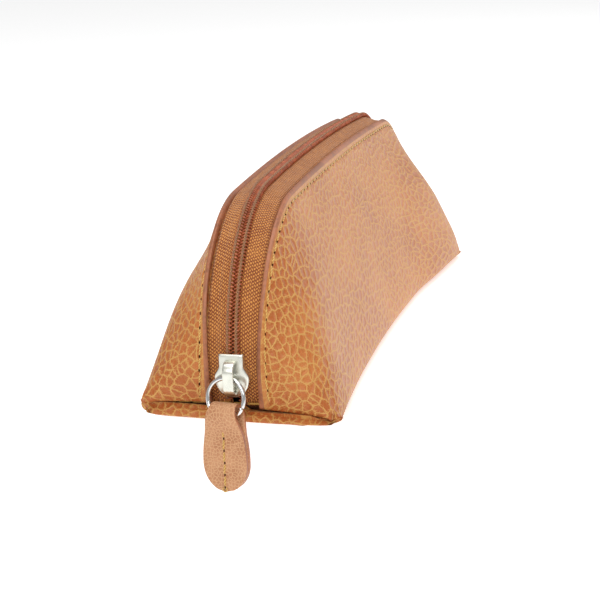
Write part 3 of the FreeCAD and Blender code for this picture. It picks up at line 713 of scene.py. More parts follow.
def plated(name, tint, low, high, depth):
    """Plated metal: fine brushing and soft clouds."""
    material, tree, shader, where = finish_start(name)
    shader.inputs["Metallic"].default_value = 1.0
    cloud = specks(tree, where, 320.0, 3.0)
    dim = tuple(c * 0.86 for c in tint)
    tree.links.new(blend_colour(tree, spread(tree, cloud, 0.3, 0.65), dim, tint),
                   shader.inputs["Base Color"])
    stretched = put(tree, "ShaderNodeMapping", {"Vector": where, "Scale": (1, 6, 1)})
    brush = specks(tree, stretched.outputs[0], 1800.0, 4.0, 0.65)
    share = calc(tree, "ADD", calc(tree, "MULTIPLY", brush, 0.7),
                 calc(tree, "MULTIPLY", cloud, 0.3))
    tree.links.new(spread(tree, share, 0.3, 0.7, low, high, False),
                   shader.inputs["Roughness"])
    bump_up(tree, shader, brush, depth)
    return material


def needle_hole_shade(name, tint):
    """Painted shade: a near-black colour that stands in for the shade inside a needle hole."""
    material, tree, shader, where = finish_start(name)
    cloud = specks(tree, where, 3000.0, 2.0)
    light = tuple(c * 3.0 for c in tint)
    tree.links.new(blend_colour(tree, spread(tree, cloud, 0.4, 0.8), tint, light),
                   shader.inputs["Base Color"])
    bump_up(tree, shader, cloud, 0.05 * MM)
    shader.inputs["Roughness"].default_value = 0.9
    shader.inputs["Specular IOR Level"].default_value = 0.1
    return material


# Leather.


def wrap_surface(t):
    """Outer face of the wrap: rows by t, columns from the front edge to the back."""
    s = sizes()
    fine = np.array([0, 0.2, 0.5, 0.9, 1.4, 1.9, 2.25, 2.55, 2.8, 3.05, 3.35, 3.7, 4.3,
                     5.1, 6.1]) * MM
    halves = []
    for side in (FRONT, BACK):
        edge, foot, corner, down, normal, opened = wall_frame(t, side)
        bend = s.corner_round * np.sin(opened * math.pi / 2) + 2 * s.seam_slit
        wall_end = foot - down * bend[:, None]
        base_end = corner - np.array([0, side, 0]) * bend[:, None]
        middle = (foot + corner) / 2
        tall = np.linalg.norm(wall_end - edge, axis=1)
        strip = np.minimum(fine[None], tall[:, None] * 0.5 * fine[None] / fine[-1])
        strip = np.where(tall[:, None] > 2 * fine[-1], fine[None], strip)
        count = int(round(58 * MM / s.grid))
        share = np.linspace(0, 1, count)[1:]
        rest = strip[:, -1:] + (tall[:, None] - strip[:, -1:]) * share[None]
        reach = np.concatenate([strip, rest], 1)
        wall = edge[:, None] + down[:, None] * reach[..., None]
        curve = np.linspace(0, 1, TURN_STEPS + 1)[1:][None, :, None]
        turn = (wall_end[:, None] * (1 - curve) ** 2
                + middle[:, None] * 2 * curve * (1 - curve) + base_end[:, None] * curve ** 2)
        points = np.concatenate([wall, turn], 1)
        puff = np.zeros(points.shape[:2])
        puff[:, :reach.shape[1]] = wall_relief(t, reach, side)
        ends = np.clip(np.minimum(t, 3 - t) / 0.12, 0, 1)
        points = points + normal[:, None] * (puff * ends[:, None])[..., None]
        halves.append((points, reach))
    front, back = halves[0][0], halves[1][0]
    across = np.linspace(0, 1, int(round(44 * MM / s.grid)))[1:-1][None, :, None]
    base = front[:, -1:] * (1 - across) + back[:, -1:] * across
    whole = np.concatenate([front, base, back[:, ::-1]], 1)
    beyond = np.full((len(t), whole.shape[1]), OFF_WALL)
    reach = halves[0][1]
    beyond[:, :reach.shape[1]] = reach
    beyond[:, -reach.shape[1]:] = reach[:, ::-1]
    return whole, beyond


def wall_relief(t, reach, side):
    """How far the leather stands out: a trough with puckers along the stitching."""
    s = sizes()
    run = leather_line().run_of(t)[:, None]
    inset = s.stitch_inset
    trough = np.exp(-((reach - inset) / (0.55 * MM)) ** 2)
    lips = (np.exp(-((reach - inset + 1.3 * MM) / (0.7 * MM)) ** 2)
            + np.exp(-((reach - inset - 1.5 * MM) / (0.9 * MM)) ** 2))
    hole = 0.5 + 0.5 * np.cos(2 * math.pi * (run / s.stitch_pitch + 0.25 * (side + 1)))
    worn = np.clip(1 - reach / s.painted_edge, 0, 1) ** 2
    relief = -0.24 * trough - 0.12 * trough * hole + 0.10 * lips - 0.55 * worn
    swell = np.sin(np.clip((reach - 6 * MM) / (46 * MM), 0, 1) * math.pi)
    wave = np.sin(run / (31 * MM) + side) * 0.18 + np.sin(run / (13 * MM)) * 0.07
    return (relief + swell * (0.35 + wave)) * MM


def grid_normals(points):
    """Normals of a grid of points, rows by columns."""
    down = np.gradient(points, axis=0)
    across = np.gradient(points, axis=1)
    normal = np.cross(across, down)
    size = np.linalg.norm(normal, axis=-1, keepdims=True)
    return normal / np.maximum(size, 1e-12)


def settle(points):
    """Sag of the end seams towards the front, and their rounded lower corners."""
    s = sizes()
    half, _ = pouch_reach()
    x, y, z = points[..., 0], points[..., 1], points[..., 2]
    near = eased(1 - (half - np.abs(x)) / END_REACH)
    front_half = np.clip((SAG_FROM - y) / (40 * MM), 0, 1)
    sag = s.seam_sag * front_half * near
    seam = s.seam_height
    above = z - sag * np.exp(-np.maximum(z - seam, 0) / SAG_FADE)
    z = np.where(z < seam, z * (1 - sag / seam), above)
    seam = seam - sag
    corner = (np.abs(y) - base_half_width(x) + EAR_WIDTH) / EAR_WIDTH
    corner = np.clip(corner, 0, 1)
    rise = s.ear_round * (1 - np.sqrt(1 - corner ** 2)) * near
    rise = np.minimum(rise, seam * 0.8)
    z = np.where(z < seam, z + rise * (1 - z / seam), z)
    past_x = np.maximum(np.abs(x) - (half - s.plan_round), 0)
    past_y = np.maximum(np.abs(y) - (s.seam_width / 2 - s.plan_round), 0)
    past = np.maximum(np.hypot(past_x, past_y), 1e-9)
    pulled = np.minimum(s.plan_round / past, 1.0) - 1
    inside = (past_x > 0) & (past_y > 0)
    x = np.where(inside, x + np.sign(x) * past_x * pulled, x)
    y = np.where(inside, y + np.sign(y) * past_y * pulled, y)
    return np.stack([x, y, z], -1)


def fill_out(points, reach):
    """Bulge of the soft panels: most at the back's near end and the front's far end."""
    s = sizes()
    half, _ = pouch_reach()
    x, y, z = points[..., 0], points[..., 1], points[..., 2]
    ends = eased((np.clip(np.abs(x) / half, 0, 1) - 0.35) / 0.5)
    fuller = np.where(x * y < 0, 1.0, SLACK_END)
    most = fuller * ends + SLACK_MIDDLE * (1 - ends)
    # nothing moves beside the top stitching, and the bulge fades towards the base
    free = eased((reach - 6 * MM) / (24 * MM))
    low = np.where((x < 0) & (y > 0), 0.75, 0.35)
    up = np.clip(z / (12 * MM), 0, 1)
    lift = low + (1 - low) * up * (2 - up)
    wide = np.clip((np.abs(y) - 3 * MM) / (14 * MM), 0, 1)
    y = y + np.sign(y) * s.bulge * most * free * lift * wide
    return np.stack([x, y, z], -1)


def droop(points):
    """Sag of the near lip, which no table holds up."""
    s = sizes()
    half, _ = pouch_reach()
    x, y, z = points[..., 0], points[..., 1], points[..., 2]
    near = eased((-x - half + DROOP_REACH) / (DROOP_REACH - 2 * MM))
    low = np.clip(1 - z / s.seam_height, 0, 1)
    middle = np.clip(1 - (np.abs(y) / (s.seam_width / 2)) ** 4, 0, 1)
    uneven = 0.95 + 0.5 * y / s.seam_width
    return np.stack([x, y, z - s.lip_droop * uneven * near * low * middle], -1)


def corner_normals(points, normals):
    """Normals that point away from the inside of the pouch beside its corners."""
    s = sizes()
    half, _ = pouch_reach()
    x, y, z = points[..., 0], points[..., 1], points[..., 2]
    corner = np.stack([np.sign(x) * half, np.sign(y) * s.seam_width / 2,
                       0 * z + s.seam_height - s.seam_sag / 2], -1)
    away = np.linalg.norm(points - corner, axis=-1)
    share = np.clip((11 * MM - away) / (5 * MM), 0, 1)[..., None]
    heart = corner * np.array([0.9, 0.6, 1.0])
    heart[..., 2] = s.seam_height
    return unit(normals * (1 - share) + unit(points - heart) * share)


def grain_map(outer, wall_columns):
    """Where the grain lies, in metres: once for the walls and once for the base."""
    x, y, z = outer[..., 0], outer[..., 1], outer[..., 2]
    turn = np.clip(x / GRAIN_TURN, -1, 1)
    # the back panel and the base take their grain from other places of the hide
    along = GRAIN_STRETCH * x - turn * np.abs(y) + np.where(y > 0, 0.5, 0.0)
    height = z.copy()
    steps = np.linalg.norm(np.diff(outer, axis=1), axis=-1)
    last = wall_columns - 1
    bent = np.cumsum(steps[:, last:last + TURN_STEPS], 1)
    height[:, last + 1:last + 1 + TURN_STEPS] = z[:, [last]] - bent
    back = outer.shape[1] - 1 - last
    fold = slice(back - TURN_STEPS, back)
    height[:, fold] = z[:, [back]] - np.cumsum(steps[:, fold][:, ::-1], 1)[:, ::-1]
    strides = np.linalg.norm(np.diff(outer, axis=0), axis=-1)
    under = np.concatenate([np.zeros((1, x.shape[1])), np.cumsum(strides, 0)])
    return np.stack([along, height], -1), np.stack([y + 1.0, under], -1)


def turn_in(points, normals, radius):
    """Rolls the two end rows of a grid inwards, as a turned edge does."""
    steps = np.linalg.norm(np.diff(points, axis=0), axis=-1)
    away = np.concatenate([np.zeros((1, points.shape[1])), np.cumsum(steps, 0)])
    away = np.minimum(away, away[-1:] - away)
    share = np.clip(1 - away / radius, 0, 1)
    free = base_half_width(points[..., 0]) - np.abs(points[..., 1])
    sink = radius * (1 - np.sqrt(np.clip(1 - share ** 2, 0, 1)))
    sink = sink * np.clip((free - 2.5 * MM) / (6 * MM), 0, 1)
    return points - normals * sink[..., None]


def build_wrap():
    """The leather: outer face, inner face, painted edges and turned seams."""
    s = sizes()
    c = colours()
    t = stations()
    outer, reach = wrap_surface(t)
    outer = fill_out(settle(outer), reach)
    normals = grid_normals(outer)
    middle = outer.shape[1] // 2
    if normals[len(t) // 2, middle, 2] > 0:
        normals = -normals
    normals = corner_normals(outer, normals)
    inner = outer - normals * s.leather
    for row in range(len(t)):
        widest = base_half_width(inner[row, :, 0]) - s.leather
        inner[row, :, 1] = np.clip(inner[row, :, 1], -widest, widest)
    sway = np.array([[noise.noise(Vector(p) * 38) for p in row] for row in outer])
    ends = np.clip(np.minimum(t, 3 - t) / 0.2, 0, 1)[:, None]
    free = np.clip(reach / (8 * MM), 0, 1) * ends
    outer = outer + normals * (sway * free * 0.30 * MM)[..., None]
    outer[..., 2] = np.maximum(outer[..., 2], 0)
    outer = droop(outer)
    outer = turn_in(outer, normals, s.turned_edge)
    lips = []
    for column, neighbour in ((0, 1), (-1, -2)):
        towards = unit(outer[:, column] - outer[:, neighbour])
        bulge = []
        for share in np.linspace(0, 1, 9)[1:-1]:
            on_edge = outer[:, column] * (1 - share) + inner[:, column] * share
            domed = (1 - abs(2 * share - 1) ** 2.6) * 0.22 * MM
            bulge.append(on_edge + towards * domed)
        lips.append(np.stack(bulge, 1))
    front_lip = lips[0][:, ::-1]
    back_lip = lips[1]
    loop = np.concatenate([front_lip, outer, back_lip, inner[:, ::-1]], 1)
    rows, columns = loop.shape[:2]
    faces = grid_faces(rows, columns, closed=True)
    lip = front_lip.shape[1]
    count = outer.shape[1]
    # the two ends are closed between the outer and the inner face
    for row in (0, rows - 1):
        for j in range(count - 1):
            a = row * columns + lip + j
            b = row * columns + columns - 1 - j
            quad = (a, a + 1, b - 1, b)
            faces.append(quad if row else quad[::-1])
    hide = pebbled_leather("pebbled_hide", c.pebble, c.crease, s.grain, 0.30 * MM, 0.37,
                           "from_edge")
    paint = edge_paint("edge_paint", c.edge_paint)
    piece = new_piece("leather", loop.reshape(-1, 3), faces, [hide, paint], "pouch",
                      ["leather_wrap"])
    beside = np.concatenate([np.zeros((rows, lip)), reach, np.zeros((rows, lip)),
                             np.full((rows, count), OFF_WALL)], 1)
    point_value(piece, "from_edge", beside.ravel() / MM)
    wall_columns = int(np.sum(reach[0, :count // 2] < OFF_WALL))
    on_wall, on_base = grain_map(outer, wall_columns)
    corners = np.empty(len(piece.data.loops), dtype=np.int32)
    piece.data.loops.foreach_get("vertex_index", corners)
    column = corners % columns
    place = np.where(column < lip, 0, column - lip)
    place = np.where(place >= count, np.clip(columns - 1 - column, 0, count - 1), place)
    base_from = wall_columns + TURN_STEPS - 1
    low = place.reshape(-1, 4).min(1)
    in_base = np.repeat((low >= base_from) & (low < count - 1 - base_from), 4)
    row = corners // columns
    uv = np.where(in_base[:, None], on_base[row, place], on_wall[row, place])
    layer = piece.data.uv_layers.new(name="Grain")
    layer.data.foreach_set("uv", (uv / MM).astype(np.float32).ravel())
    lap = int(np.sum(reach[rows // 2, :30] < s.painted_edge))
    painted = set(range(lip + lap)) | set(range(lip + count - 1 - lap, lip + count + lip))
    painted.add(columns - 1)
    for polygon in piece.data.polygons:
        if polygon.index < (rows - 1) * columns:
            if polygon.index % columns in painted:
                polygon.material_index = 1
    return piece


# Zip.


def parted(t):
    """How far each coil stands aside to pass the post of the slider."""
    s = sizes()
    run = s.chain_end + chain_line().run_of(t)
    closed = s.slider_from_seam + PARTING_LEAD
    return eased((closed - run) / s.post_from_shoulder) * (s.post + s.slider_clearance) / 2


def build_tape(side):
    """Woven tape of one half of the zip."""
    s = sizes()
    c = colours()
    t = stations()
    line = chain_line()
    edge, _, _, down, normal, _ = wall_frame(t, side)
    depth = s.leather + 0.1 * MM
    aside = parted(t)
    coil_edge = zip_y() + side * (aside + s.coil_width + 0.05 * MM)
    inner_edge = zip_y() + side * (aside + 0.15 * MM)
    at_edge = edge - normal * depth
    outer = [at_edge + down * s.tape_flap * share for share in (1, 0.66, 0.33, 0.12)]
    lay = line.point(t, side=coil_edge)
    for share in np.linspace(0, 1, 13):
        dip = math.sin(math.pi * min(1.0, share * 1.4)) ** 2 * 0.25 * MM
        outer.append(at_edge * (1 - share) + lay * share - normal * dip)
    for share in (0.25, 0.5, 0.75, 1.0):
        outer.append(line.point(t, side=coil_edge + (inner_edge - coil_edge) * share))
    outer = np.stack(outer, 1)
    tucked = 1.6 * MM
    sunk = np.array([0.35 * MM, 0, 0])
    near_end = outer[:1] + unit(outer[:1] - outer[2:3]) * tucked - sunk
    far_end = outer[-1:] + unit(outer[-1:] - outer[-3:-2]) * tucked + sunk
    outer = np.concatenate([near_end, outer, far_end])
    t = np.concatenate([t[:1], t, t[-1:]])
    normals = grid_normals(outer)
    angle = line.at(t)[3]
    out = np.stack([np.cos(angle), 0 * angle, np.sin(angle)], -1)
    flip = np.sign(np.sum(normals[:, -2] * out, -1))[:, None, None]
    inner = outer - normals * flip * s.tape
    loop = np.concatenate([outer, inner[:, ::-1]], 1)
    rows, columns = loop.shape[:2]
    faces = grid_faces(rows, columns, closed=True)
    faces.append(tuple(range(columns)))
    faces.append(tuple((rows - 1) * columns + j for j in reversed(range(columns))))
    if side == BACK:
        faces = [face[::-1] for face in faces]
    name = "front" if side == FRONT else "back"
    weave = bpy.data.materials.get("tape_weave") or zip_weave("tape_weave", c.tape,
                                                              c.tape_shade)
    piece = new_piece(f"tape_{name}", loop.reshape(-1, 3), faces, [weave], "pouch",
                      [f"zip_tape_{name}"])
    steps = np.linalg.norm(np.diff(loop, axis=1), axis=-1)
    across = np.concatenate([np.zeros((rows, 1)), np.cumsum(steps, 1)], 1)
    run = np.broadcast_to(line.run_of(t)[:, None], across.shape)
    paint_uv(piece, "Weave", np.stack([run, across], -1).reshape(-1, 2) / MM)
    return piece


def build_coil(side):
    """Helix of monofilament, with teeth that reach between the other coil's."""
    s = sizes()
    c = colours()
    line = chain_line()
    name = "front" if side == FRONT else "back"
    pitch = s.tooth_pitch
    start = 0.4 * MM
    turns = int((line.total - 2 * start) / pitch)
    steps = 14
    turn = np.arange(turns * steps + 1) / steps
    phase = 0.5 if side == BACK else 0.0
    run = start + (turn + phase) * pitch
    run = np.minimum(run, line.total - start)
    t = line.t_of(run)
    angle = turn * 2 * math.pi
    wire = s.coil_wire / 2
    reach = s.coil_width / 2 + 0.10 * MM - wire
    rise = s.coil_height / 2 - wire
    square = np.sign(np.cos(angle)) * np.abs(np.cos(angle)) ** 0.7
    tall = np.sign(np.sin(angle)) * np.abs(np.sin(angle)) ** 0.7
    off = s.coil_width / 2 - 0.02 * MM + parted(t) - square * reach
    lift = s.coil_height / 2 + tall * rise
    path = line.point(t, lift, zip_y() + side * off)
    tubes = Tubes()
    tubes.add(path, wire, sides=7, up=(0.03, 1, 0.02))
    coil = bpy.data.materials.get("coil_nylon") or nylon("coil_nylon", c.coil)
    return tubes.piece(f"coil_{name}", [coil], "pouch", "coil", [f"zip_coil_{name}"])


def build_coil_thread(side):
    """Chain stitch that sews a coil to its tape."""
    s = sizes()
    c = colours()
    line = chain_line()
    name = "front" if side == FRONT else "back"
    finish = bpy.data.materials.get("coil_sewing") or plied_thread(
        "coil_sewing", c.coil_thread, c.tape_shade, 0.5, 0.6)
    tubes = Tubes()
    per = 8
    count = int((line.total - 2 * MM) / s.tooth_pitch)
    turn = np.arange(count * per) / per
    run = 1 * MM + turn * s.tooth_pitch
    t = line.t_of(run)
    for shift in (0.0, 0.5):
        weave = np.sin(2 * math.pi * (turn / 2 + shift)) * 0.21 * MM
        lift = s.coil_height - 0.02 * MM + 0.07 * MM * np.cos(2 * math.pi * (turn + shift))
        off = s.coil_width / 2 + 0.22 * MM + parted(t) + weave
        path = line.point(t, lift, zip_y() + side * off)
        tubes.add(path, 0.17 * MM, sides=6, up=(0.03, 1, 0.02))
    return tubes.piece(f"coil_thread_{name}_chain", [finish], "pouch", "coil_thread",
                       [f"coil_thread_{name}"])


# Sewing.


def thread_finish():
    """Golden thread and the painted shade of its needle holes, made once."""
    c = colours()
    thread = bpy.data.materials.get("golden_thread") or plied_thread(
        "golden_thread", c.thread, c.thread_shade, 0.85)
    hole = bpy.data.materials.get("needle_hole_shade") or needle_hole_shade("needle_hole_shade", c.hole)
    return [thread, hole]


def sew(tubes, holes, first, last, normal, across, slant):
    """One stitch from hole to hole, and the hole before it."""
    s = sizes()
    radius = s.thread / 2
    ahead = last - first
    share = np.linspace(0, 1, 9)
    bow = 1 - np.abs(2 * share - 1) ** 4
    shift = (share - 0.5) * slant
    path = (first + share[:, None] * ahead + normal * ((bow * 0.55 - 0.42) * radius)[:, None]
            + across * shift[:, None])
    tubes.add(path, radius * (0.62 + 0.38 * bow), sides=8, up=normal)
    gap = unit(ahead) * 0.42 * MM
    spot = first - gap * 0.75 - across * slant * 0.5
    holes.append((spot, normal, unit(ahead), across))


def add_holes(tubes, holes):
    """Small dimples between the stitches, coloured with the painted shade of the needle holes.
    Returns how many faces stand before.
    """
    before = len(tubes.faces)
    for spot, normal, ahead, _ in holes:
        path = [spot + ahead * x * MM + normal * 0.02 * MM for x in
                (-0.42, -0.3, 0.0, 0.3, 0.42)]
        widths = np.array([0.06, 0.17, 0.23, 0.17, 0.06]) * MM
        tubes.add(path, widths, sides=8, up=normal)
    return before


def sewn_piece(tubes, holes, name, body, nodes):
    """Stitches and holes as one object with two finishes."""
    before = add_holes(tubes, holes)
    piece = tubes.piece(name, thread_finish(), body, "thread", nodes)
    # the hole dimples take the second finish, the painted shade of the needle holes
    for polygon in piece.data.polygons[before:]:
        polygon.material_index = 1
    return piece


def build_top_stitching(side):
    """Row of stitches beside a leather edge."""
    s = sizes()
    dense = np.linspace(0.012, 2.988, 2400)
    edge, _, _, down, normal, _ = wall_frame(dense, side)
    inset = np.full((len(dense), 1), s.stitch_inset)
    relief = wall_relief(dense, inset, side)
    row = settle(edge + down * s.stitch_inset + normal * relief)
    run = np.concatenate([[0], np.cumsum(np.linalg.norm(np.diff(row, axis=0), axis=1))])
    tubes = Tubes()
    holes = []
    place = 1.6 * MM
    while place + s.stitch_length < run[-1] - 1 * MM:
        ends = [np.searchsorted(run, place), np.searchsorted(run, place + s.stitch_length)]
        first, last = row[ends[0]], row[ends[1]]
        out = unit(normal[ends[0]] + normal[ends[1]])
        across = unit(np.cross(unit(last - first), out))
        wobble = noise.noise(Vector(first) * 400) * 0.12 * MM
        sew(tubes, holes, first + across * wobble, last + across * wobble, out, across,
            0.34 * MM * side)
        place += s.stitch_pitch
    name = "front" if side == FRONT else "back"
    return sewn_piece(tubes, holes, f"top_stitches_{name}", "pouch",
                      [f"top_stitching_{name}"])


# Slider, ring and pull.


class SliderFrame:
    """Where the slider stands: s along the chain, y across, height off the tape."""

    def __init__(self):
        s = sizes()
        centre = JOINTS["slider_travel"]["pos_m"]
        line = chain_line()
        self.centre = np.array(centre)
        self.radius = line.radius
        self.angle = line.start - (s.slider_from_seam - s.chain_end) / line.radius

    def place(self, along, across, height):
        """World points. along is towards the tail, height is above the tape."""
        angle = self.angle - along / (self.radius + self.plate())
        reach = self.radius + height
        return self.centre + np.stack([reach * np.cos(angle), across + 0 * angle,
                                       reach * np.sin(angle)], -1)

    def flat(self, along, across, height):
        """World points in the straight frame of the slider, for its crown."""
        out = np.array([math.cos(self.angle), 0, math.sin(self.angle)])
        tail = np.array([math.sin(self.angle), 0, -math.cos(self.angle)])
        base = self.centre + out * self.radius
        along, across, height = np.broadcast_arrays(along, across, height)
        return (base + out * height[..., None] + tail * along[..., None]
                + np.array([0, 1, 0]) * across[..., None])

    @staticmethod
    def plate():
        """Underside of the upper plate above the tape."""
        s = sizes()
        return s.coil_height + 0.12 * MM + s.slider_clearance


def slider_half_width(along):
    """Half width of the slider: straight tail, hollow flare and round nose."""
    s = sizes()
    along = np.asarray(along, float)
    wide = s.slider_width / 2
    narrow = s.slider_tail_width / 2
    flare = wide + (narrow - wide) * eased((along + 0.3 * MM) / (3.3 * MM))
    nose = np.clip((-along - 0.3 * MM) / (s.slider_nose - 0.3 * MM), 0, 1)
    round_nose = wide * np.clip(1 - nose ** 2.15, 0, 1) ** (1 / 2.0)
    return np.where(along < -0.3 * MM, round_nose, flare)


def slab(points, faces, place, along, low_edge, high_edge, low, high, power):
    """Rounded bar between two edges and two heights, added to a mesh."""
    sides = 28
    turn = np.linspace(0, 2 * math.pi, sides, endpoint=False)
    span = along[-1] - along[0]
    share = np.abs(2 * (along - along[0]) / span - 1)
    end = np.clip(1 - share ** 26, 0.0, 1) ** (1 / 3)
    end = np.maximum(end, 0.02)
    middle = (low_edge + high_edge) / 2
    half = (high_edge - low_edge) / 2
    wide = np.sign(np.cos(turn)) * np.abs(np.cos(turn)) ** (2 / power[0])
    tall = np.sign(np.sin(turn)) * np.abs(np.sin(turn)) ** (2 / power[1])
    y = middle[:, None] + half[:, None] * wide[None]
    z = (low + high) / 2 + (high - low) / 2 * tall[None] * end[:, None]
    x = np.broadcast_to(along[:, None], y.shape)
    made = place(x, y, z)
    start = sum(len(p) for p in points)
    points.append(made.reshape(-1, 3))
    faces += grid_faces(len(along), sides, start, closed=True)
    faces.append(tuple(start + j for j in range(sides)))
    faces.append(tuple(start + (len(along) - 1) * sides + j for j in reversed(range(sides))))


def build_slider_body():
    """Two arched plates, side walls and the post between them."""
    s = sizes()
    c = colours()
    at = SliderFrame()
    points, faces = [], []
    nose = -s.slider_nose
    bend = np.linspace(0, 1, 26)
    along = np.concatenate([nose + (1 - np.cos(bend * math.pi / 2)) * 3.2 * MM,
                            np.linspace(nose + 3.2 * MM, s.slider_tail, 44)[1:]])
    half = np.maximum(slider_half_width(along), 0.15 * MM)
    low = at.plate()
    slab(points, faces, at.place, along, -half, half, low, low + s.slider_plate, (9, 2.6))
    under = -s.tape - s.slider_clearance
    slab(points, faces, at.place, along, -half, half, under - s.slider_plate, under, (9, 2.6))
    walls = along[(along > -2.0 * MM) & (along < s.slider_tail - 0.3 * MM)]
    edge = slider_half_width(walls)
    for side in (-1, 1):
        inner, outer = side * (edge - s.slider_wall), side * (edge - 0.03 * MM)
        slab(points, faces, at.place, walls, np.minimum(inner, outer),
             np.maximum(inner, outer), s.slider_clearance, low + 0.3 * MM, (5, 8))
    post_at, radius = -s.post_from_shoulder, s.post / 2
    post = np.linspace(post_at - radius, post_at + radius, 13)
    half = np.sqrt(np.maximum(radius ** 2 - (post - post_at) ** 2, 1e-9))
    slab(points, faces, at.place, post, -half, half, under - 0.2 * MM, low + 0.2 * MM, (4, 9))
    satin = plated("satin_nickel", c.nickel, 0.24, 0.36, 0.012 * MM)
    return new_piece("slider_plates", np.concatenate(points), faces, [satin], "slider",
                     ["slider_body"])


def rounded_path(corners, radius, steps=6):
    """Corners joined by straight runs with round bends between them."""
    path = [np.array(corners[0], float)]
    for before, corner, after in zip(corners, corners[1:], corners[2:]):
        before, corner, after = (np.array(p, float) for p in (before, corner, after))
        back = np.linalg.norm(before - corner)
        ahead = np.linalg.norm(after - corner)
        reach = min(radius, back * 0.49, ahead * 0.49)
        first = corner + (before - corner) / back * reach
        last = corner + (after - corner) / ahead * reach
        for share in np.linspace(0, 1, steps):
            path.append(first * (1 - share) ** 2 + corner * 2 * share * (1 - share)
                        + last * share ** 2)
    path.append(np.array(corners[-1], float))
    return np.array(path)


def build_crown():
    """Bent strap over the ring, with eased edges and a straight foot at each end."""
    s = sizes()
    at = SliderFrame()
    half = s.crown_length / 2 - s.crown_wall / 2
    top = at.plate() + s.slider_plate
    roof = top + s.crown_height - s.crown_wall / 2
    foot = top - 0.75 * MM
    shoulder = 1.5 * MM
    corners = [(-half, foot), (-half, roof - shoulder), (-half + shoulder, roof),
               (half - shoulder, roof), (half, roof - shoulder), (half, foot)]
    path = rounded_path([(x, z) for x, z in corners], 0.9 * MM)
    ahead = unit(np.gradient(path, axis=0))
    out = np.stack([-ahead[:, 1], ahead[:, 0]], -1)
    turn = np.linspace(0, 2 * math.pi, 24, endpoint=False)
    wide = np.sign(np.cos(turn)) * np.abs(np.cos(turn)) ** 0.22 * s.crown_width / 2
    deep = np.sign(np.sin(turn)) * np.abs(np.sin(turn)) ** 0.55 * s.crown_wall / 2
    x = path[:, 0][:, None] + out[:, 0][:, None] * deep[None]
    z = path[:, 1][:, None] + out[:, 1][:, None] * deep[None]
    y = np.broadcast_to(wide[None], x.shape)
    points = at.flat(x, y, z).reshape(-1, 3)
    faces = grid_faces(len(path), 24, closed=True)
    faces.append(tuple(range(24)))
    faces.append(tuple((len(path) - 1) * 24 + j for j in reversed(range(24))))
    satin = bpy.data.materials["satin_nickel"]
    return new_piece("slider_bridge", points, faces, [satin], "slider",
                     ["slider_crown"])


def turned(axis, angle):
    """Rotation matrix about an axis."""
    return np.array(Matrix.Rotation(angle, 3, Vector(axis)))


def ring_twist():
    """Angle of the ring's axis about the vertical, from its joint."""
    axis = JOINTS["ring_swing"]["axis"]
    return math.atan2(axis[0], axis[1])


def build_ring():
    """Wire ring, closed by a butt joint."""
    s = sizes()
    c = colours()
    eye = np.array(JOINTS["ring_swing"]["pos_m"])
    side_turn = math.asin(s.ring_side / s.ring_radius)
    drop = s.ring_radius * math.cos(side_turn)
    tilt = turned((0, 0, 1), -ring_twist()) @ turned((0, 1, 0), s.ring_tilt)
    centre = eye + tilt @ np.array([0, s.ring_side, -drop])
    gap = math.radians(0.9)
    start = math.radians(205)
    turn = np.linspace(start + gap, start + 2 * math.pi - gap, 97)
    path = centre + (tilt @ np.stack([0 * turn, np.cos(turn), np.sin(turn)])
                     * s.ring_radius).T
    radii = np.full(len(path), s.ring_wire / 2)
    radii[[0, -1]] *= 0.9
    tubes = Tubes()
    tubes.add(path, radii, sides=20, up=tilt @ np.array([1, 0, 0]))
    bright = plated("bright_nickel", c.ring, 0.05, 0.12, 0.004 * MM)
    return tubes.piece("ring", [bright], "ring", "ring", ["pull_ring"])


def pull_half_width(drop):
    """Half width of the pull at a distance below its fold."""
    s = sizes()
    total = s.pull_length
    wide = s.pull_width / 2
    widest = total - wide * 1.22
    share = np.clip(drop / widest, 0, 1)
    swell = s.pull_top_width / 2 + (wide - s.pull_top_width / 2) * np.sin(
        share * math.pi / 2) ** 0.92
    below = np.clip((drop - widest) / (total - widest), 0, 1)
    tip = wide * np.sqrt(np.clip(1 - below ** 2.1, 0, 1))
    return np.where(drop < widest, swell, tip)


def pull_frame():
    """Loop centre and matrix of the pull: X width, Y thickness, Z up."""
    centre = np.array(JOINTS["pull_swing"]["pos_m"])
    turn = turned((0, 0, 1), -ring_twist()) @ turned((0, 0, 1), math.pi / 2)
    return centre, turn


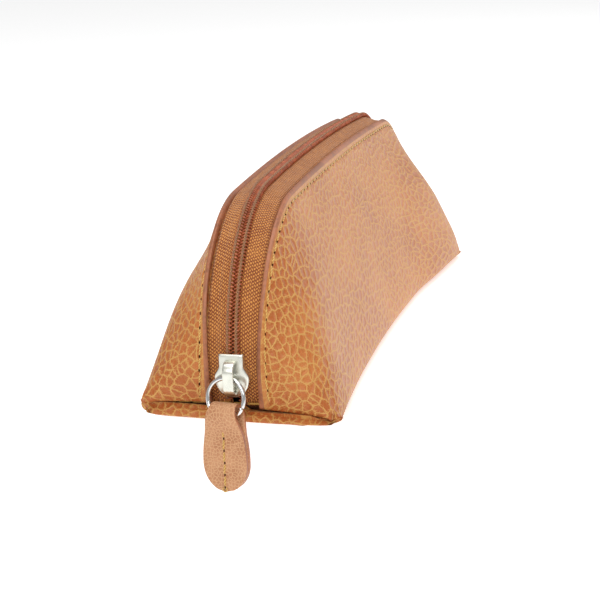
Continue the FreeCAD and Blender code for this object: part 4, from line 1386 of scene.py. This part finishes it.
def build_pull():
    """Strip folded round the ring and closed on itself, with painted edges."""
    s = sizes()
    c = colours()
    centre, turn = pull_frame()
    cavity = s.ring_wire / 2 + s.loop_clearance + s.loop_rise
    loop = cavity + s.loop_wall
    tip = loop - s.pull_length
    sheet = s.pull / 4
    mean = cavity + s.loop_wall / 2
    bend = np.radians(np.linspace(218, -38, 33))
    over = np.stack([mean * np.cos(bend), mean * np.sin(bend)], -1)
    low = np.linspace(tip, -4.9 * MM, 30)
    front = np.stack([np.full(len(low), -sheet), low], -1)
    path = np.concatenate([front, over, front[::-1] * np.array([-1, 1])])
    for _ in range(3):
        path[1:-1] = (path[:-2] + 2 * path[1:-1] + path[2:]) / 4
    ahead = unit(np.gradient(path, axis=0))
    out = np.stack([-ahead[:, 1], ahead[:, 0]], -1)
    thick = np.where(np.arange(len(path)) < len(low), sheet, s.loop_wall / 2)
    thick[-len(low):] = sheet
    thick = np.convolve(np.pad(thick, 3, mode="edge"), np.ones(7) / 7, mode="valid")
    drop = loop - path[:, 1]
    half = np.maximum(pull_half_width(drop), 0.05 * MM)
    sides = 40
    turns = np.linspace(0, 2 * math.pi, sides, endpoint=False)
    wide = np.sign(np.cos(turns)) * np.abs(np.cos(turns)) ** 0.16
    deep = np.sign(np.sin(turns)) * np.abs(np.sin(turns)) ** 0.45
    y = path[:, 0][:, None] + out[:, 0][:, None] * deep[None] * thick[:, None]
    z = path[:, 1][:, None] + out[:, 1][:, None] * deep[None] * thick[:, None]
    x = half[:, None] * wide[None]
    local = np.stack([x, y, z], -1)
    points = centre + local.reshape(-1, 3) @ turn.T
    faces = grid_faces(len(path), sides, closed=True)
    faces.append(tuple(range(sides)))
    faces.append(tuple((len(path) - 1) * sides + j for j in reversed(range(sides))))
    hide = pebbled_leather("pull_hide", c.pull_pebble, c.pull_crease, s.grain * 0.42,
                           0.12 * MM, 0.50)
    paint = edge_paint("pull_edge_paint", tuple(v * 1.05 for v in c.edge_paint))
    piece = new_piece("pull", points, faces, [hide, paint], "pull",
                      ["pull_leather"])
    run = np.concatenate([[0], np.cumsum(np.linalg.norm(np.diff(path, axis=0), axis=1))])
    spread_out = np.stack([x, np.broadcast_to(run[:, None], x.shape)], -1)
    paint_uv(piece, "Grain", spread_out.reshape(-1, 2) / MM)
    rim = np.abs(np.cos(turns)) > 0.93
    for polygon in piece.data.polygons:
        if polygon.index < (len(path) - 1) * sides:
            j = polygon.index % sides
            if rim[j] and rim[(j + 1) % sides]:
                polygon.material_index = 1
    return piece


def build_pull_stitching():
    """Row of stitches down both faces of the pull, tied off at the bottom."""
    s = sizes()
    centre, turn = pull_frame()
    tubes = Tubes()
    holes = []
    surface = s.pull / 2 - 0.05 * MM
    length_of = s.pull_stitch_pitch * 0.86
    for face in (-1, 1):
        normal = turn @ np.array([0, face, 0])
        across = turn @ np.array([1, 0, 0])
        drop = -s.pull_length * 0.13
        for number in range(5):
            lean = (0.10 + 0.16 * (number % 2)) * MM
            first = centre + turn @ np.array([0, face * surface, drop])
            last = centre + turn @ np.array([0, face * surface, drop - length_of])
            sew(tubes, holes, first, last, normal, across, lean)
            drop -= s.pull_stitch_pitch
        holes.append((centre + turn @ np.array([0, face * surface, drop + 0.1 * MM]),
                      normal, turn @ np.array([0, 0, -1]), across))
        bend = np.radians(np.linspace(20, 330, 15))
        tie = np.stack([0.55 * np.sin(bend) * MM, 0 * bend + face * (surface + 0.16 * MM),
                        drop - 0.35 * MM + 0.62 * np.cos(bend) * MM], -1)
        tubes.add(centre + tie @ turn.T, s.thread * 0.36, sides=8, up=normal)
    return sewn_piece(tubes, holes, "pull_stitches", "pull", ["pull_stitching"])


# Stage.


def build_table():
    """Table whose edge is behind the near end, so that the pull hangs free."""
    c = colours()
    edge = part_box("leather_wrap")[0].x + TABLE_BACK
    bend = TABLE_ROUND
    profile = [(STAGE_REACH, 0.0), (edge + bend, 0.0)]
    for angle in np.radians(np.linspace(90, 180, 9)):
        profile.append((edge + bend + bend * math.cos(angle),
                        -bend + bend * math.sin(angle)))
    profile += [(edge, -0.10), (edge, -0.2), (edge - 0.02, FLOOR_Z),
                (-STAGE_REACH, FLOOR_Z)]
    points = [(x, y, z - 0.3 * MM) for x, z in profile
              for y in (-STAGE_REACH, STAGE_REACH)]
    faces = [(2 * i, 2 * i + 1, 2 * i + 3, 2 * i + 2) for i in range(len(profile) - 1)]
    mesh = bpy.data.meshes.new("table")
    mesh.from_pydata(points, [], faces)
    mesh.polygons.foreach_set("use_smooth", [True] * len(mesh.polygons))
    table = bpy.data.objects.new("table", mesh)
    bpy.context.scene.collection.objects.link(table)
    material, tree, shader, where = finish_start("pale_table")
    grain = specks(tree, where, 60.0, 3.0)
    light = tuple(min(1.0, v * 1.03) for v in c.floor)
    tree.links.new(blend_colour(tree, grain, c.floor, light), shader.inputs["Base Color"])
    shader.inputs["Roughness"].default_value = 0.9
    shader.inputs["Specular IOR Level"].default_value = 0.1
    shader.inputs["Emission Color"].default_value = (1, 1, 1, 1)
    shader.inputs["Emission Strength"].default_value = 0.5
    mesh.materials.append(material)


def soft_light(name, place, aim, size, power):
    """Square soft light aimed at a point."""
    data = bpy.data.lights.new(name, "AREA")
    data.shape = "RECTANGLE"
    data.size, data.size_y = size
    data.energy = power
    lamp = bpy.data.objects.new(name, data)
    bpy.context.scene.collection.objects.link(lamp)
    lamp.location = place
    lamp.rotation_euler = (Vector(aim) - Vector(place)).to_track_quat("-Z", "Y").to_euler()


def build_lights():
    """Even room light with a large lamp above, one in front and one at the far side."""
    world = bpy.data.worlds.new("room")
    bpy.context.scene.world = world
    world.use_nodes = True
    background = world.node_tree.nodes["Background"]
    background.inputs["Color"].default_value = (1, 1, 1, 1)
    background.inputs["Strength"].default_value = 0.40
    soft_light("overhead", (-0.1, -0.1, 0.9), (-0.03, 0, 0.02), (0.9, 0.7), 4.4)
    soft_light("front", (-0.8, -0.05, 0.45), (-0.09, 0, 0.03), (0.5, 0.5), 2.4)
    soft_light("far_side", (0.75, -0.5, 0.30), (0.02, -0.01, 0.03), (0.6, 0.6), 1.3)
    bpy.context.scene.view_settings.view_transform = "Standard"


def build_camera():
    """Camera in front of the near end, looking along the pouch and a little down."""
    data = bpy.data.cameras.new("camera")
    data.sensor_width = 36
    data.lens = LENS
    data.clip_start = 0.01
    data.clip_end = 20
    camera = bpy.data.objects.new("camera", data)
    bpy.context.scene.collection.objects.link(camera)
    yaw, pitch, roll = (math.radians(a) for a in (YAW, PITCH, ROLL))
    ahead = Vector((math.cos(pitch) * math.cos(yaw), math.cos(pitch) * math.sin(yaw),
                    -math.sin(pitch)))
    right = Vector((math.sin(yaw), -math.cos(yaw), 0))
    up = right.cross(ahead)
    level = Matrix((right, up, -ahead)).transposed()
    camera.matrix_world = Matrix.Translation(Vector(CAMERA_AT)) @ (
        level @ Matrix.Rotation(roll, 3, "Z")).to_4x4()
    bpy.context.scene.camera = camera


# Operators.


class PouchLeather(bpy.types.Operator):
    """Build the leather wrap with its painted edges and turned seams"""

    bl_idname = "pouch.leather"
    bl_label = "Leather"

    def execute(self, context):
        build_wrap()
        return {"FINISHED"}


class PouchZip(bpy.types.Operator):
    """Build the tapes, coils and coil threads of the zip"""

    bl_idname = "pouch.zip"
    bl_label = "Zip"

    def execute(self, context):
        for side in (FRONT, BACK):
            build_tape(side)
            build_coil(side)
            build_coil_thread(side)
        return {"FINISHED"}


class PouchStitching(bpy.types.Operator):
    """Sew the two rows of stitches beside the zip"""

    bl_idname = "pouch.stitching"
    bl_label = "Stitching"

    def execute(self, context):
        for side in (FRONT, BACK):
            build_top_stitching(side)
        return {"FINISHED"}


class PouchInside(bpy.types.Operator):
    """Give the lining, cords, seam stitches and lock spring their finishes"""

    bl_idname = "pouch.inside"
    bl_label = "Inside pieces"

    def execute(self, context):
        c = colours()
        dark = tuple(v * 0.45 for v in c.lining)
        cloth = plain_cloth("lining_cloth", c.lining, dark, 0.5 * MM)
        cord = plain_cloth("filler_cord", c.tape, c.tape_shade, 0.3 * MM)
        sewing = plain_cloth("seam_sewing", c.thread, c.thread_shade, 0.4 * MM)
        steel = plated("spring_steel", c.spring, 0.3, 0.45, 0.01 * MM)
        finishes = {"lining": cloth, "coil_cord_front": cord, "coil_cord_back": cord,
                    "seam_stitching_near": sewing, "seam_stitching_far": sewing,
                    "lock_spring": steel}
        for node, finish in finishes.items():
            data = frame["nodes"][node].data
            data.materials.clear()
            data.materials.append(finish)
        return {"FINISHED"}


class PouchSlider(bpy.types.Operator):
    """Build the slider and its bridge"""

    bl_idname = "pouch.slider"
    bl_label = "Slider"

    def execute(self, context):
        build_slider_body()
        build_crown()
        return {"FINISHED"}


class PouchPull(bpy.types.Operator):
    """Build the ring, the leather pull and its stitches"""

    bl_idname = "pouch.pull"
    bl_label = "Ring and pull"

    def execute(self, context):
        build_ring()
        build_pull()
        build_pull_stitching()
        return {"FINISHED"}


class PouchStage(bpy.types.Operator):
    """Set the table, lights and camera"""

    bl_idname = "pouch.stage"
    bl_label = "Stage"

    def execute(self, context):
        build_table()
        build_lights()
        build_camera()
        return {"FINISHED"}


class PouchPanel(bpy.types.Panel):
    """Steps and sizes of the pouch"""

    bl_idname = "VIEW3D_PT_pouch"
    bl_label = "Zippered pouch"
    bl_space_type = "VIEW_3D"
    bl_region_type = "UI"
    bl_category = "Pouch"

    def draw(self, context):
        layout = self.layout
        for operator in OPERATORS:
            layout.operator(operator.bl_idname)
        for group in (context.scene.pouch_sizes, context.scene.pouch_colours):
            for name in group.__annotations__:
                layout.prop(group, name)


OPERATORS = (PouchStage, PouchLeather, PouchZip, PouchStitching, PouchInside,
             PouchSlider, PouchPull)
CLASSES = (PouchSizes, PouchColours, *OPERATORS, PouchPanel)


def register():
    """Add the classes and the two groups of settings."""
    for cls in CLASSES:
        bpy.utils.register_class(cls)
    bpy.types.Scene.pouch_sizes = PointerProperty(type=PouchSizes)
    bpy.types.Scene.pouch_colours = PointerProperty(type=PouchColours)


def unregister():
    """Take the classes and the settings away again."""
    del bpy.types.Scene.pouch_colours
    del bpy.types.Scene.pouch_sizes
    for cls in reversed(CLASSES):
        bpy.utils.unregister_class(cls)


def main():
    """Build everything in order."""
    register()
    bpy.ops.pouch.stage()
    bpy.ops.pouch.leather()
    bpy.ops.pouch.zip()
    bpy.ops.pouch.stitching()
    bpy.ops.pouch.inside()
    bpy.ops.pouch.slider()
    bpy.ops.pouch.pull()
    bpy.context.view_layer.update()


if __name__ == "__main__":
    main()
